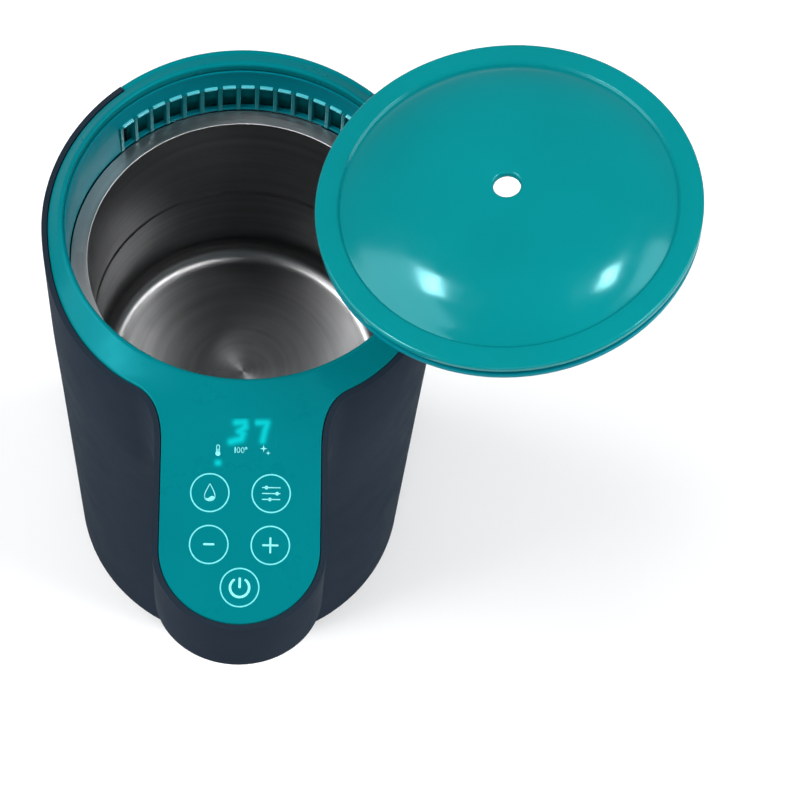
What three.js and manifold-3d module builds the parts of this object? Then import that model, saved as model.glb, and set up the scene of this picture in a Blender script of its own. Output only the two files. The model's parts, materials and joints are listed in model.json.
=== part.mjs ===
// Yogurt maker: a round milk and water warmer with a dispensing nose and a lift-off lid.
// Millimetres, +Z up, origin at the centre of the base plate's underside, nose towards -Y.

import * as THREE from 'three';
import { mergeVertices } from 'three/addons/utils/BufferGeometryUtils.js';
import Module from 'manifold-3d';

const wasm = await Module();
wasm.setup();

// ---------------------------------------------------------------- driving dimensions

const GAP = 0.3;                // clearance between neighbouring pieces
const WALL = 2.2;               // moulded wall of the shell

const BODY_R = 82.1;            // outer radius of the shell at the top
const BASE_R = 79;              // outer radius just above the rounded foot edge
const BASE_FILLET = 9.4;
const COVER_R = BODY_R - WALL - GAP;
const NOSE_Z = 208;             // underside of the nose
const OPENING_R = 73.2;         // mouth in the top cover
const OPENING_Z = 280;
const RIM_Z = 275.7;            // mean height of the cover's outer edge
const RIM_WAVE = 2;             // the edge dips by this at the two sides

const SWELL = 7.4;              // how far the cover widens towards the nose
const SWELL_FROM = 85;          // degrees off the front where the widening starts
const NECK_AZ = 29;             // degrees off the front where the neck begins
const NOSE_HALF = 31;           // half width of the touch panel
const NOSE_SIDE_FROM = -99;     // the panel's straight sides, along Y
const NOSE_SIDE_TO = -138;
const NOSE_END = 27.7;          // length of the panel's rounded end
const PANEL_SLOPE = 16;         // degrees, down to the front
const PANEL_START = -74;        // the sloping panel starts here, along Y

const COVER_T = 2.2;            // thickness of the top cover
const COVER_LIP = 4.1;          // its depth at the mouth
const COLLAR_Z = 247.4;         // bottom of the vent collar
const COLLAR_R = 72.3;          // its inner radius at the bottom
const SLOT_COUNT = 15;
const SLOT_PITCH = 6.2;         // degrees
const SLOT_WIDTH = 5.9;
const SLOT_LOW = 248.6;
const SLOT_HIGH = 264;

const VESSEL_R = 65;            // inner radius of the stainless vessel
const VESSEL_T = 0.9;
const VESSEL_TOP = 247;
const VESSEL_FLOOR = 142;
const VESSEL_FILLET = 9;
const FLANGE_R = 72;

const BACK_HALF = 40;           // half angle of the rear cover, degrees
const BACK_STEP = 0.25;         // degrees of clearance at each of its sides
const BACK_Z = 12;              // lower edge of the opening it fills
const BACK_TOP = 273.4;         // the top cover reaches out over the rear cover's top
const LID_R = 75;
const LID_SEAT_Z = OPENING_Z + GAP;
const LID_TOP = LID_SEAT_Z + 10;
const LID_DOME = 10;
const LID_OPEN_R = 22;          // steam reaches the vent through this opening in the lid's base
const LID_SHOULDER = 4.5;       // how flat the dome is before it turns down
const LID_VENT_R = 5.3;

const POST_AT = 46.7;           // the four screw posts stand at (+-POST_AT, +-POST_AT)
const PUMP_Y = -54;
const FAN_Y = 59.5;
const FAN_Z = 72;
const FAN_SIZE = 60;
const SPOUT_Y = -140;

// The lid is held off to one side. Turning it by LID_ANGLE about this axis seats it on the mouth.
const LID_AXIS = new THREE.Vector3(0.3145, 0.8347, -0.4521).normalize();
const LID_PIVOT = new THREE.Vector3(-73.7, 307.9, 807.5);
const LID_ANGLE = 10.267;

const ROUND = 40;               // facets round a large turned piece
const SMALL_ROUND = 10;

const rad = THREE.MathUtils.degToRad;

// ---------------------------------------------------------------- materials

const paint = (color, roughness, metalness = 0) =>
  () => new THREE.MeshStandardMaterial({ color, roughness, metalness });

const slate = paint(0x38414c, 0.55);
const teal = paint(0x018f96, 0.3);
const tealDeep = paint(0x017580, 0.4);
const steel = paint(0x9a9a9e, 0.28, 1);
const aluminium = paint(0xb6b9bc, 0.45, 1);
const silicone = paint(0xd9dcdd, 0.6);
const darkRubber = paint(0x26292d, 0.8);
const chassis = paint(0xc9ccce, 0.6);
const black = paint(0x1c1e21, 0.5);
const board = paint(0x1d6b3f, 0.5);
const copper = paint(0xb4743f, 0.4, 1);
const brass = paint(0xc8a75a, 0.3, 1);
const lamp = paint(0x9be8ea, 0.3);

// ---------------------------------------------------------------- helpers

// Merges the shared corners, drops faces of no area, and turns the faces outward.
function closed(geometry) {
  const bare = geometry.clone();
  bare.deleteAttribute('normal');
  bare.deleteAttribute('uv');
  const merged = mergeVertices(bare, 1e-4);
  const p = merged.getAttribute('position').array;
  const faces = [];
  let volume = 0;
  for (let i = 0; i < merged.index.count; i += 3) {
    const [a, b, c] = [0, 1, 2].map(k => merged.index.array[i + k]);
    if (a === b || b === c || c === a) continue;
    faces.push([a, b, c]);
    const [va, vb, vc] = [a, b, c].map(k => new THREE.Vector3().fromArray(p, 3 * k));
    volume += va.dot(vb.cross(vc));
  }
  merged.setIndex(faces.flatMap(([a, b, c]) => (volume < 0 ? [a, c, b] : [a, b, c])));
  return merged;
}

function solid(geometry) {
  const g = closed(geometry);
  return new wasm.Manifold(new wasm.Mesh({
    numProp: 3,
    vertProperties: new Float32Array(g.getAttribute('position').array),
    triVerts: new Uint32Array(g.index.array),
  }));
}

function geometryOf(manifold) {
  const mesh = manifold.getMesh();
  const g = new THREE.BufferGeometry();
  g.setAttribute('position', new THREE.BufferAttribute(new Float32Array(mesh.vertProperties), 3));
  g.setIndex([...mesh.triVerts]);
  return g;
}

const join = (first, ...others) => others.reduce((sum, o) => sum.add(solid(o)), solid(first));
const cut = (body, ...tools) => tools.reduce((sum, t) => sum.subtract(solid(t)), body);

// A turned piece from a closed [radius, height] profile. A profile that starts on the axis ends on it.
function turned(profile, facets = ROUND) {
  const points = profile.map(([r, z]) => new THREE.Vector2(r, z));
  const onAxis = profile[0][0] === 0 && profile[profile.length - 1][0] === 0;
  if (!onAxis) points.push(points[0].clone());
  return new THREE.LatheGeometry(points, facets).rotateX(Math.PI / 2);
}

function box(x0, x1, y0, y1, z0, z1) {
  const g = new THREE.BoxGeometry(x1 - x0, y1 - y0, z1 - z0);
  return g.translate((x0 + x1) / 2, (y0 + y1) / 2, (z0 + z1) / 2);
}

function rod(r, x, y, z0, z1, facets = SMALL_ROUND) {
  const g = new THREE.CylinderGeometry(r, r, z1 - z0, facets).rotateX(Math.PI / 2);
  return g.translate(x, y, (z0 + z1) / 2);
}

function rodAlongY(r, x, z, y0, y1, facets = SMALL_ROUND) {
  return new THREE.CylinderGeometry(r, r, y1 - y0, facets).translate(x, (y0 + y1) / 2, z);
}

// A plate with the plan outline of a Shape.
function plate(shape, z0, z1, curveSegments = 3) {
  const g = new THREE.ExtrudeGeometry(shape, { depth: z1 - z0, bevelEnabled: false, curveSegments });
  return g.translate(0, 0, z0);
}

function roundedRect(x0, x1, y0, y1, r) {
  const s = new THREE.Shape();
  s.moveTo(x0 + r, y0);
  s.lineTo(x1 - r, y0);
  s.absarc(x1 - r, y0 + r, r, -Math.PI / 2, 0);
  s.lineTo(x1, y1 - r);
  s.absarc(x1 - r, y1 - r, r, 0, Math.PI / 2);
  s.lineTo(x0 + r, y1);
  s.absarc(x0 + r, y1 - r, r, Math.PI / 2, Math.PI);
  s.lineTo(x0, y0 + r);
  s.absarc(x0 + r, y0 + r, r, Math.PI, Math.PI * 1.5);
  return s;
}

// A tube of outer and inner radius along a smooth path.
function hose(points, outer, inner, steps) {
  const ring = new THREE.Shape();
  ring.absarc(0, 0, outer, 0, 2 * Math.PI);
  const bore = new THREE.Path();
  bore.absarc(0, 0, inner, 0, 2 * Math.PI, true);
  ring.holes.push(bore);
  const path = new THREE.CatmullRomCurve3(points.map(p => new THREE.Vector3(...p)));
  return new THREE.ExtrudeGeometry(ring, { steps, extrudePath: path, curveSegments: 4 });
}

// A closed ring swept round the axis: section(i) gives the corners of column i, all in one plane.
function sweptRing(count, section) {
  const corners = [];
  const index = [];
  const perColumn = section(0).length;
  for (let i = 0; i < count; i++) corners.push(...section(i).flat());
  for (let i = 0; i < count; i++) {
    const next = (i + 1) % count;
    for (let k = 0; k < perColumn; k++) {
      const up = (k + 1) % perColumn;
      const [a, b] = [i * perColumn + k, next * perColumn + k];
      const [c, d] = [next * perColumn + up, i * perColumn + up];
      index.push(a, b, c, a, c, d);
    }
  }
  const g = new THREE.BufferGeometry();
  g.setAttribute('position', new THREE.Float32BufferAttribute(corners, 3));
  g.setIndex(index);
  return g;
}

// A vertical wedge about the axis, centred on the back.
function backWedge(halfAngle, z0, z1) {
  const reach = 2 * BODY_R;
  const s = new THREE.Shape();
  s.moveTo(0, 0);
  s.lineTo(reach * Math.sin(rad(halfAngle)), reach * Math.cos(rad(halfAngle)));
  s.lineTo(-reach * Math.sin(rad(halfAngle)), reach * Math.cos(rad(halfAngle)));
  return plate(s, z0, z1);
}

// ---------------------------------------------------------------- plan outline of the head

const smooth = t => t * t * (3 - 2 * t);
const clamp01 = t => Math.min(1, Math.max(0, t));

// Evenly spaced values, both ends included.
function spaced(from, to, count) {
  return Array.from({ length: count + 1 }, (_, i) => from + (to - from) * i / count);
}

// Radius of the cover's edge, by degrees off the front.
function coverRadius(azimuth) {
  const off = Math.abs(azimuth > 180 ? azimuth - 360 : azimuth);
  return COVER_R + SWELL * smooth(clamp01((SWELL_FROM - off) / (SWELL_FROM - 25)));
}

// Azimuths of the rim's columns, with a close pair at each end of the back.
const RIM_AZIMUTHS = [
  ...spaced(NECK_AZ, 180 - BACK_HALF, 15),
  ...spaced(180 - BACK_HALF + BACK_STEP, 180 + BACK_HALF - BACK_STEP, 10),
  ...spaced(180 + BACK_HALF, 360 - NECK_AZ, 15),
];

// The cover's outline pushed out by an offset: the round rim, the neck, the sides and the end.
function headOutline(offset, backOffset = offset) {
  const points = RIM_AZIMUTHS.map(azimuth => {
    const r = coverRadius(azimuth) + (Math.abs(azimuth - 180) < BACK_HALF ? backOffset : offset);
    return [r * Math.sin(rad(azimuth)), -r * Math.cos(rad(azimuth))];
  });
  const half = NOSE_HALF + offset;
  const start = points[points.length - 1];
  const bend = [-half, start[1] - (Math.abs(start[0]) - half) * Math.tan(rad(NECK_AZ))];
  const neck = [1, 2, 3].map(k => {
    const t = k / 4;
    const mix = axis => (1 - t) ** 2 * start[axis] + 2 * t * (1 - t) * bend[axis]
      + t * t * [-half, NOSE_SIDE_FROM][axis];
    return [mix(0), mix(1)];
  });
  points.push(...neck, [-half, NOSE_SIDE_FROM], [-half, (NOSE_SIDE_FROM + NOSE_SIDE_TO) / 2]);
  const endSteps = 12;
  for (let i = 0; i <= endSteps; i++) {
    const turn = Math.PI * (1 + i / endSteps);
    points.push([half * Math.cos(turn), NOSE_SIDE_TO + (NOSE_END + offset) * Math.sin(turn)]);
  }
  points.push([half, (NOSE_SIDE_FROM + NOSE_SIDE_TO) / 2], [half, NOSE_SIDE_FROM]);
  points.push(...neck.map(([x, y]) => [-x, y]).reverse());
  return points;
}

// Height of the cover's top: a cone from the mouth down to the rim, then the sloping panel.
function coverHeight(x, y) {
  const r = Math.hypot(x, y);
  const azimuth = THREE.MathUtils.radToDeg(Math.atan2(x, -y));
  const rim = RIM_Z + RIM_WAVE * Math.cos(rad(2 * azimuth));
  const across = clamp01((r - OPENING_R) / (coverRadius(azimuth) - OPENING_R));
  const cone = OPENING_Z - across * (OPENING_Z - rim);
  const panel = OPENING_Z - (PANEL_START - y) * Math.tan(rad(PANEL_SLOPE));
  const blend = smooth(clamp01((PANEL_START + 4 - y) / 20));
  return cone * (1 - blend) + panel * blend;
}

// ---------------------------------------------------------------- housing

// Outer radius of the round body at a height, above the rounded foot edge.
const bodyRadius = z => BASE_R + (BODY_R - BASE_R) * clamp01((z - BASE_FILLET) / (NOSE_Z - BASE_FILLET));

function roundWall() {
  const outer = [];
  const inner = [];
  for (let i = 0; i <= 4; i++) {
    const turn = rad(90 * i / 4);
    const [s, c] = [Math.sin(turn), Math.cos(turn)];
    outer.push([BASE_R - BASE_FILLET * (1 - s), BASE_FILLET * (1 - c)]);
    inner.push([BASE_R - BASE_FILLET + (BASE_FILLET - WALL) * s, BASE_FILLET - (BASE_FILLET - WALL) * c]);
  }
  outer.push([BODY_R, NOSE_Z], [BODY_R, NOSE_Z + 1]);
  inner.push([BODY_R - WALL, NOSE_Z], [BODY_R - WALL, NOSE_Z + 1]);
  return turned([...outer, ...inner.reverse()], 48);
}

// The upright wall that follows the cover's outline, up to the cover's edge.
function headWall() {
  const outer = headOutline(WALL + GAP);
  const inner = headOutline(GAP);
  const edge = headOutline(0);
  return sweptRing(outer.length, i => {
    const top = coverHeight(...edge[i]);
    return [[...outer[i], NOSE_Z + 0.5], [...outer[i], top], [...inner[i], top], [...inner[i], NOSE_Z + 0.5]];
  });
}

// The floor of the head, from its outline in to the round body.
function headFloor() {
  const outer = headOutline(WALL + GAP);
  const innerRadius = BODY_R - WALL;
  return sweptRing(outer.length, i => {
    const [x, y] = outer[i];
    const k = innerRadius / Math.hypot(x, y);
    return [[x, y, NOSE_Z], [x, y, NOSE_Z + 2.4], [k * x, k * y, NOSE_Z + 2.4], [k * x, k * y, NOSE_Z]];
  });
}

const noseHatch = grow => roundedRect(-23 - grow, 23 + grow, -154 - grow, -94 + grow, 12 + grow);

const housing = () => join(roundWall(), headWall(), headFloor());

function outerShell() {
  const opened = cut(housing(), backWedge(BACK_HALF, BACK_Z, 300));
  return geometryOf(cut(opened, plate(noseHatch(0), NOSE_Z - 2, NOSE_Z + 4)));
}

const REAR_SCREWS = [-40, 40];
const REAR_SCREW_Z = 130;
const INLET = { half: 15, z0: 15, z1: 37, face: 78 };

function rearCover() {
  const strip = housing().intersect(solid(backWedge(BACK_HALF - BACK_STEP, BACK_Z + GAP, BACK_TOP)));
  const louvres = [];
  for (let i = 0; i < 8; i++) {
    const z = FAN_Z - 21 + 6 * i;
    louvres.push(box(-22, 22, 60, 90, z - 1.5, z + 1.5));
  }
  const socket = box(-INLET.half - GAP, INLET.half + GAP, 60, 90, INLET.z0 - GAP, INLET.z1 + GAP);
  const screwHoles = REAR_SCREWS.flatMap(x => [
    rodAlongY(1.9, x, REAR_SCREW_Z, 55, 90), rodAlongY(3.3, x, REAR_SCREW_Z, 68.3, 90),
  ]);
  return geometryOf(cut(strip, ...louvres, socket, ...screwHoles));
}

// At the back, where the dark rim stops, the cover reaches out and down over the rear cover.
function topCover() {
  const edge = headOutline(0, WALL + GAP);
  const rings = 3;
  return sweptRing(edge.length, i => {
    const [x, y] = edge[i];
    const reach = Math.hypot(x, y);
    const overBack = Math.abs(Math.atan2(x, y)) < rad(BACK_HALF);
    const at = (r, z) => [x * r / reach, y * r / reach, z];
    const top = r => coverHeight(x * r / reach, y * r / reach);
    const under = r => Math.min(top(r) - COVER_T, OPENING_Z - COVER_LIP);
    const skirt = r => (overBack ? BACK_TOP + GAP : under(r));
    const radii = spaced(OPENING_R, reach, rings);
    const lip = reach - 2;
    return [
      ...radii.map(r => at(r, top(r))),
      at(reach, skirt(reach)), at(lip, skirt(lip)), at(lip, under(lip)),
      ...radii.slice(0, rings).reverse().map(r => at(r, under(r))),
    ];
  });
}

// The inner wall below the mouth, with its row of air slots round the back.
function ventCollar() {
  const top = OPENING_Z - COVER_LIP - 0.7;
  const wall = turned([
    [COLLAR_R, COLLAR_Z], [COLLAR_R + 2.4, COLLAR_Z], [COLLAR_R + 2.4, top], [OPENING_R, top],
    [COLLAR_R + 0.4, SLOT_HIGH + 2],
  ], 48);
  const slots = [];
  for (let i = 0; i < SLOT_COUNT; i++) {
    const turn = rad((i - (SLOT_COUNT - 1) / 2) * SLOT_PITCH);
    slots.push(box(-SLOT_WIDTH / 2, SLOT_WIDTH / 2, 66, 80, SLOT_LOW, SLOT_HIGH).rotateZ(turn));
  }
  return geometryOf(cut(solid(wall), ...slots));
}

const noseCover = () => geometryOf(join(
  plate(noseHatch(-GAP), NOSE_Z, NOSE_Z + 2.9),
  plate(noseHatch(2.5), NOSE_Z + 2.4 + GAP, NOSE_Z + 4.4),
).subtract(solid(rod(6.4, 0, SPOUT_Y, NOSE_Z - 2, NOSE_Z + 6))));

const posts = [[1, 1], [-1, 1], [-1, -1], [1, -1]].map(([a, b]) => [a * POST_AT, b * POST_AT]);
const boardPosts = [[37, -13], [37, 27], [-37, 27], [-37, -13]];
const FEET_AT = 40;
const feet = [[1, 1], [-1, 1], [-1, -1], [1, -1]].map(([a, b]) => [a * FEET_AT * 0.75, b * FEET_AT]);

const BASE_GROOVE = { from: 16, to: 18, deep: 0.7 };   // a ring groove in its underside

function basePlate() {
  const outer = BASE_R - BASE_FILLET - GAP;
  const { from, to, deep } = BASE_GROOVE;
  const disc = join(
    turned([[0, 0], [from, 0], [from, deep], [to, deep], [to, 0], [outer, 0], [outer, 3], [0, 3]], 36),
    ...posts.map(([x, y]) => rod(5.5, x, y, 2.8, 5)),
    ...boardPosts.map(([x, y]) => rod(3, x, y, 2, 9.7, 8)),
    turned([[14.3, 2.8], [16.3, 2.8], [16.3, 10], [14.3, 10]], 16).translate(0, PUMP_Y, 0),
  );
  const holes = posts.flatMap(([x, y]) => [rod(3.3, x, y, -1, 2.4), rod(1.8, x, y, 1, 6)]);
  const studs = feet.map(([x, y]) => rod(2.5, x, y, -1, 2.2));
  return geometryOf(cut(disc, ...holes, ...studs));
}

const foot = (x, y) => turned([
  [0, -2.5], [6.2, -2.5], [7, -1.8], [7, -GAP], [2.2, -GAP], [2.2, 1.9], [0, 1.9],
], 12)
  .translate(x, y, 0);

const screw = (x, y) => turned([[0, 0.3], [2.6, 0.3], [3, 0.8], [3, 2.1], [1.5, 2.1], [1.5, 14], [0, 14]], 8)
  .translate(x, y, 0);

const rearScrew = x => turned([[0, 0], [1.5, 0], [1.5, 9], [2.9, 9], [2.9, 10.6], [2.2, 11.2], [0, 11.2]], 8)
  .rotateX(-Math.PI / 2).translate(x, 59.6, REAR_SCREW_Z);

// ---------------------------------------------------------------- vessel and heating

function vessel() {
  const r = VESSEL_R;
  const t = VESSEL_T;
  const arc = (radius, steps) => Array.from({ length: steps + 1 }, (_, i) => {
    const turn = rad(90 * i / steps);
    return [
      r - VESSEL_FILLET + radius * Math.sin(turn),
      VESSEL_FLOOR + VESSEL_FILLET - radius * Math.cos(turn),
    ];
  });
  const inside = arc(VESSEL_FILLET, 5);
  const outside = arc(VESSEL_FILLET + t, 5).reverse();
  const bowl = turned([
    [0, VESSEL_FLOOR], ...inside, [r, VESSEL_TOP - 1], [r + 1, VESSEL_TOP], [FLANGE_R, VESSEL_TOP],
    [FLANGE_R, VESSEL_TOP - t], [r + t, VESSEL_TOP - t - 0.6], ...outside, [0, VESSEL_FLOOR - t],
  ]);
  const spigot = rod(4, 0, PUMP_Y, 116, VESSEL_FLOOR - t / 2);
  return geometryOf(join(bowl, spigot).subtract(solid(rod(3, 0, PUMP_Y, 115, VESSEL_FLOOR + 2))));
}

const vesselGasket = () => turned([
  [68.4, 244.9], [71.2, 244.9], [71.2, 245.7], [68.4, 245.7],
]);

function innerFrame() {
  const sleeve = turned([
    [68, 116], [70, 116], [70, 242.5], [71, 242.5], [71, 244.6], [68, 244.6],
  ]);
  const body = join(
    sleeve,
    ...posts.map(([x, y]) => rod(4, x, y, 5.3, 124, 8)),
    ...REAR_SCREWS.map(x => rodAlongY(4, x, REAR_SCREW_Z, 54.5, 64.4, 8)),
  );
  const bores = posts.map(([x, y]) => rod(1.8, x, y, 4, 16, 8));
  const rearBores = REAR_SCREWS.map(x => rodAlongY(1.8, x, REAR_SCREW_Z, 57.5, 70, 8));
  return geometryOf(cut(body, ...bores, ...rearBores));
}

const HEATER_TOP = VESSEL_FLOOR - VESSEL_T - GAP;
const heaterPlate = () => turned([[0, 135], [47, 135], [47, HEATER_TOP], [0, HEATER_TOP]], 40);

// A sheathed element bent into an open ring, its two ends turned down.
function heaterElement() {
  const radius = 38;
  const points = [];
  for (let i = 0; i <= 12; i++) {
    const turn = rad(-60 + 300 * i / 12);
    points.push([radius * Math.cos(turn), radius * Math.sin(turn), 130.8]);
  }
  points.unshift([radius * Math.cos(rad(-66)), radius * Math.sin(rad(-66)), 118]);
  points.push([radius * Math.cos(rad(246)), radius * Math.sin(rad(246)), 118]);
  const path = new THREE.CatmullRomCurve3(points.map(p => new THREE.Vector3(...p)));
  const section = new THREE.Shape();
  section.absarc(0, 0, 3.2, 0, 2 * Math.PI);
  return new THREE.ExtrudeGeometry(section, { steps: 30, extrudePath: path, curveSegments: 3 });
}

const thermostat = () => turned([[0, 120], [7, 120], [7, 126], [9, 126], [9, 134.7], [0, 134.7]], 20);
const thermalFuse = () => rodAlongY(2, 18, 132.4, -12, 12, 10);
const ntcSensor = () => turned([[0, 124], [2.5, 124], [2.5, 130], [4, 130], [4, 134.7], [0, 134.7]], 12)
  .translate(-20, 0, 0);

// ---------------------------------------------------------------- pump and hoses

const PUMP_Z = 42;

const pumpMotor = () => turned([
  [0, 3.4], [14, 3.4], [14, PUMP_Z], [16, PUMP_Z], [16, PUMP_Z + 3.7], [1.4, PUMP_Z + 3.7],
  [1.4, PUMP_Z - 6], [0, PUMP_Z - 6],
], 24).translate(0, PUMP_Y, 0);

function pumpHousing() {
  const z = PUMP_Z + 4;
  const cup = turned([
    [13.4, z], [16, z], [16, z + 15], [4, z + 15], [4, z + 28], [2.6, z + 28], [2.6, z + 12.5],
    [13.4, z + 12.5],
  ], 24).translate(0, PUMP_Y, 0);
  const port = new THREE.CylinderGeometry(3.2, 3.2, 14, 12).rotateZ(Math.PI / 2).translate(21, PUMP_Y, z + 7);
  const bore = new THREE.CylinderGeometry(2, 2, 20, 12).rotateZ(Math.PI / 2).translate(20, PUMP_Y, z + 7);
  return geometryOf(cut(join(cup, port), bore));
}

function pumpImpeller() {
  const z = PUMP_Z + 4;
  const disc = turned([
    [0, PUMP_Z - 5], [1, PUMP_Z - 5], [1, z + 1], [11.5, z + 1], [11.5, z + 2.5], [3, z + 2.5],
    [3, z + 10], [0, z + 10],
  ], 20);
  const vanes = [0, 1, 2, 3, 4, 5].map(i => box(2, 11, -0.6, 0.6, z + 2, z + 9).rotateZ(rad(60 * i)));
  return geometryOf(join(disc, ...vanes)).translate(0, PUMP_Y, 0);
}

const suctionHose = () => turned([[4.3, 66], [6.2, 66], [6.2, 132], [4.3, 132]], 16).translate(0, PUMP_Y, 0);

const outletHose = () => hose([
  [28.6, PUMP_Y, 53], [30.6, PUMP_Y, 53], [34, -56.5, 55], [36.5, -61.5, 62], [37, -63.5, 80],
  [37, -64, 140], [37, -64.2, 196],
  [30, -70, 217], [14, -92, 226], [3, -122, 233], [0, -137, 233], [0, SPOUT_Y, 229.5], [0, SPOUT_Y, 226],
], 3, 2, 22);

const spoutNozzle = () => turned([
  [2.6, 201], [5, 201], [6, 203], [6, 213.2], [9, 213.2], [9, 215], [5, 215], [4.6, 225.4], [2.6, 225.4],
], 20).translate(0, SPOUT_Y, 0);

// ---------------------------------------------------------------- cooling fan and duct

function fanFrame() {
  const half = FAN_SIZE / 2;
  const [front, back] = [FAN_Y - 7.5, FAN_Y + 7.5];
  const square = box(-half, half, front, back, FAN_Z - half, FAN_Z + half);
  const opened = cut(solid(square), rodAlongY(27.5, 0, FAN_Z, front - 1, back + 1, 32));
  const struts = [90, 210, 330].map(a => box(9, 28.5, front, front + 2.4, -2, 2)
    .rotateY(-rad(a)).translate(0, 0, FAN_Z));
  const seat = rodAlongY(12, 0, FAN_Z, front, front + 2.4, 20);
  return geometryOf([seat, ...struts].reduce((sum, g) => sum.add(solid(g)), opened));
}

function fanRotor() {
  const hub = rodAlongY(12, 0, 0, FAN_Y - 4.6, FAN_Y + 6, 20);
  const blades = Array.from({ length: 7 }, (_, i) => box(11, 26, -1, 1, -6.5, 6.5)
    .rotateX(rad(50)).translate(0, FAN_Y + 0.7, 0).rotateY(rad(i * 360 / 7)));
  return geometryOf(join(hub, ...blades)).translate(0, 0, FAN_Z);
}

// The duct takes air from the fan, over its top and up behind the vessel to the collar.
function airDuct() {
  const shape = (grow, top) => {
    const riser = new THREE.Shape();
    const half = rad(24) + grow / 74;
    riser.absarc(0, 0, 76 + grow, Math.PI / 2 - half, Math.PI / 2 + half);
    riser.absarc(0, 0, 72 - grow, Math.PI / 2 + half, Math.PI / 2 - half, true);
    return plate(riser, 104 - grow, top);
  };
  const [front, behind] = [FAN_Y - 7.5 - GAP, 71];
  const outside = join(
    box(-30, 30, 38, front, FAN_Z - 29, FAN_Z + 42),
    box(-30, 30, 38, behind, FAN_Z + 30 + GAP, FAN_Z + 42),
    shape(1.4, 242),
  );
  return geometryOf(cut(
    outside,
    box(-28.4, 28.4, 39.6, front + 5, FAN_Z - 27.4, FAN_Z + 40.4),
    box(-28.4, 28.4, 39.6, behind - 1.6, FAN_Z + 32, FAN_Z + 40.4),
    shape(0, 250),
  ));
}

// ---------------------------------------------------------------- electronics

const mainBoard = () => box(-41, 41, -18, 32, 10, 11.6);
const relay = () => box(18, 34, 2, 21, 11.9, 27);
const transformer = () => box(-34, -10, -2, 22, 11.9, 31);
const capacitor = () => rod(5, 6, 18, 11.9, 26, 14);
const terminalBlock = () => box(-12, 14, -16, -7, 11.9, 21);

// Pieces under the touch panel, in the panel's own frame: X across, Y down the slope, Z out of it.
const KEYS = {
  water: [-11.8, 44.9],
  mode: [11.8, 44.9],
  minus: [-11.8, 65],
  plus: [11.8, 65],
  power: [0.3, 81.4],
};
const BOARD_DROP = 10;

function controlBoard() {
  const outline = new THREE.Shape();
  outline.moveTo(26, -12);
  outline.lineTo(-26, -12);
  outline.lineTo(-26, -66);
  outline.absellipse(0, -66, 26, 22.5, Math.PI, 2 * Math.PI);
  return plate(outline, -BOARD_DROP - 1.6, -BOARD_DROP, 6);
}
const ledDisplay = () => box(-12, 12, -29, -15, -BOARD_DROP + GAP, -COVER_T - 3);
const statusLed = x => box(x - 1.5, x + 1.5, -35.5, -33.5, -BOARD_DROP + GAP, -BOARD_DROP + 2);
const touchSpring = ([x, y]) => turned([
  [3.4, -BOARD_DROP + GAP], [5, -BOARD_DROP + GAP], [5, -COVER_T - 0.8], [3.4, -COVER_T - 0.8],
], 16).translate(x, -y, 0);

function powerInlet() {
  const { half, z0, z1, face } = INLET;
  const body = solid(box(-half, half, 54, face, z0, z1));
  return geometryOf(cut(body, box(-12, 12, 62, face + 2, z0 + 3, z1 - 3)));
}
const inletPin = (x, z) => box(x - 1, x + 1, 62 + GAP, 73, z - 2.4, z + 2.4);

// ---------------------------------------------------------------- lid, drawn as it sits on the mouth

function lidCover() {
  const brim = LID_R - 10;
  const dome = [];
  for (let i = 0; i <= 7; i++) {
    const r = LID_VENT_R + (brim - LID_VENT_R) * (i / 7) ** 0.6;
    dome.push([r, LID_TOP + LID_DOME * (1 - (r / brim) ** LID_SHOULDER)]);
  }
  const under = dome.map(([r, z]) => [r, z - 2.2]).reverse();
  return turned([
    ...dome, [LID_R - 0.8, LID_TOP], [LID_R, LID_TOP - 0.8], [LID_R, LID_TOP - 3], [LID_R - 3, LID_TOP - 3],
    [brim + 1, LID_TOP - 2.4], ...under,
  ]);
}

// The underside: a flange that rests on the cover, and a low cone that drains drops to its open middle.
function lidBase() {
  const z = LID_SEAT_Z + 2;
  const cone = 60;
  return turned([
    [LID_OPEN_R, LID_SEAT_Z - 6.6], [44, LID_SEAT_Z - 6.6], [68, LID_SEAT_Z], [68, z], [LID_R - 0.3, z],
    [LID_R - 0.3, z + 2.4], [LID_R - 4, z + 2.4], [LID_R - 4, z + 4.6], [cone, z + 4.6], [cone, z + 2],
    [LID_OPEN_R, z + 2],
  ]);
}

const lidSeal = () => turned([
  [68.4, LID_SEAT_Z], [LID_R - 2.5, LID_SEAT_Z], [LID_R - 2.5, LID_SEAT_Z + 1.7], [68.4, LID_SEAT_Z + 1.7],
]);

// ---------------------------------------------------------------- assembly

const root = new THREE.Group();

function add(parent, name, geometry, material) {
  const mesh = new THREE.Mesh(closed(geometry), material());
  mesh.name = name;
  parent.add(mesh);
}

add(root, 'outer_shell', outerShell(), slate);
add(root, 'rear_cover', rearCover(), teal);
add(root, 'top_cover', topCover(), teal);
add(root, 'vent_collar', ventCollar(), tealDeep);
add(root, 'nose_cover', noseCover(), slate);
add(root, 'base_plate', basePlate(), black);
feet.forEach(([x, y], i) => add(root, `foot_${i + 1}`, foot(x, y), darkRubber));
posts.forEach(([x, y], i) => add(root, `base_screw_${i + 1}`, screw(x, y), steel));
REAR_SCREWS.forEach((x, i) => add(root, `rear_screw_${i + 1}`, rearScrew(x), steel));

add(root, 'inner_frame', innerFrame(), chassis);
add(root, 'vessel', vessel(), steel);
add(root, 'vessel_gasket', vesselGasket(), silicone);
add(root, 'heater_plate', heaterPlate(), aluminium);
add(root, 'heater_element', heaterElement(), steel);
add(root, 'thermostat', thermostat(), black);
add(root, 'thermal_fuse', thermalFuse(), copper);
add(root, 'ntc_sensor', ntcSensor(), brass);

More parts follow.
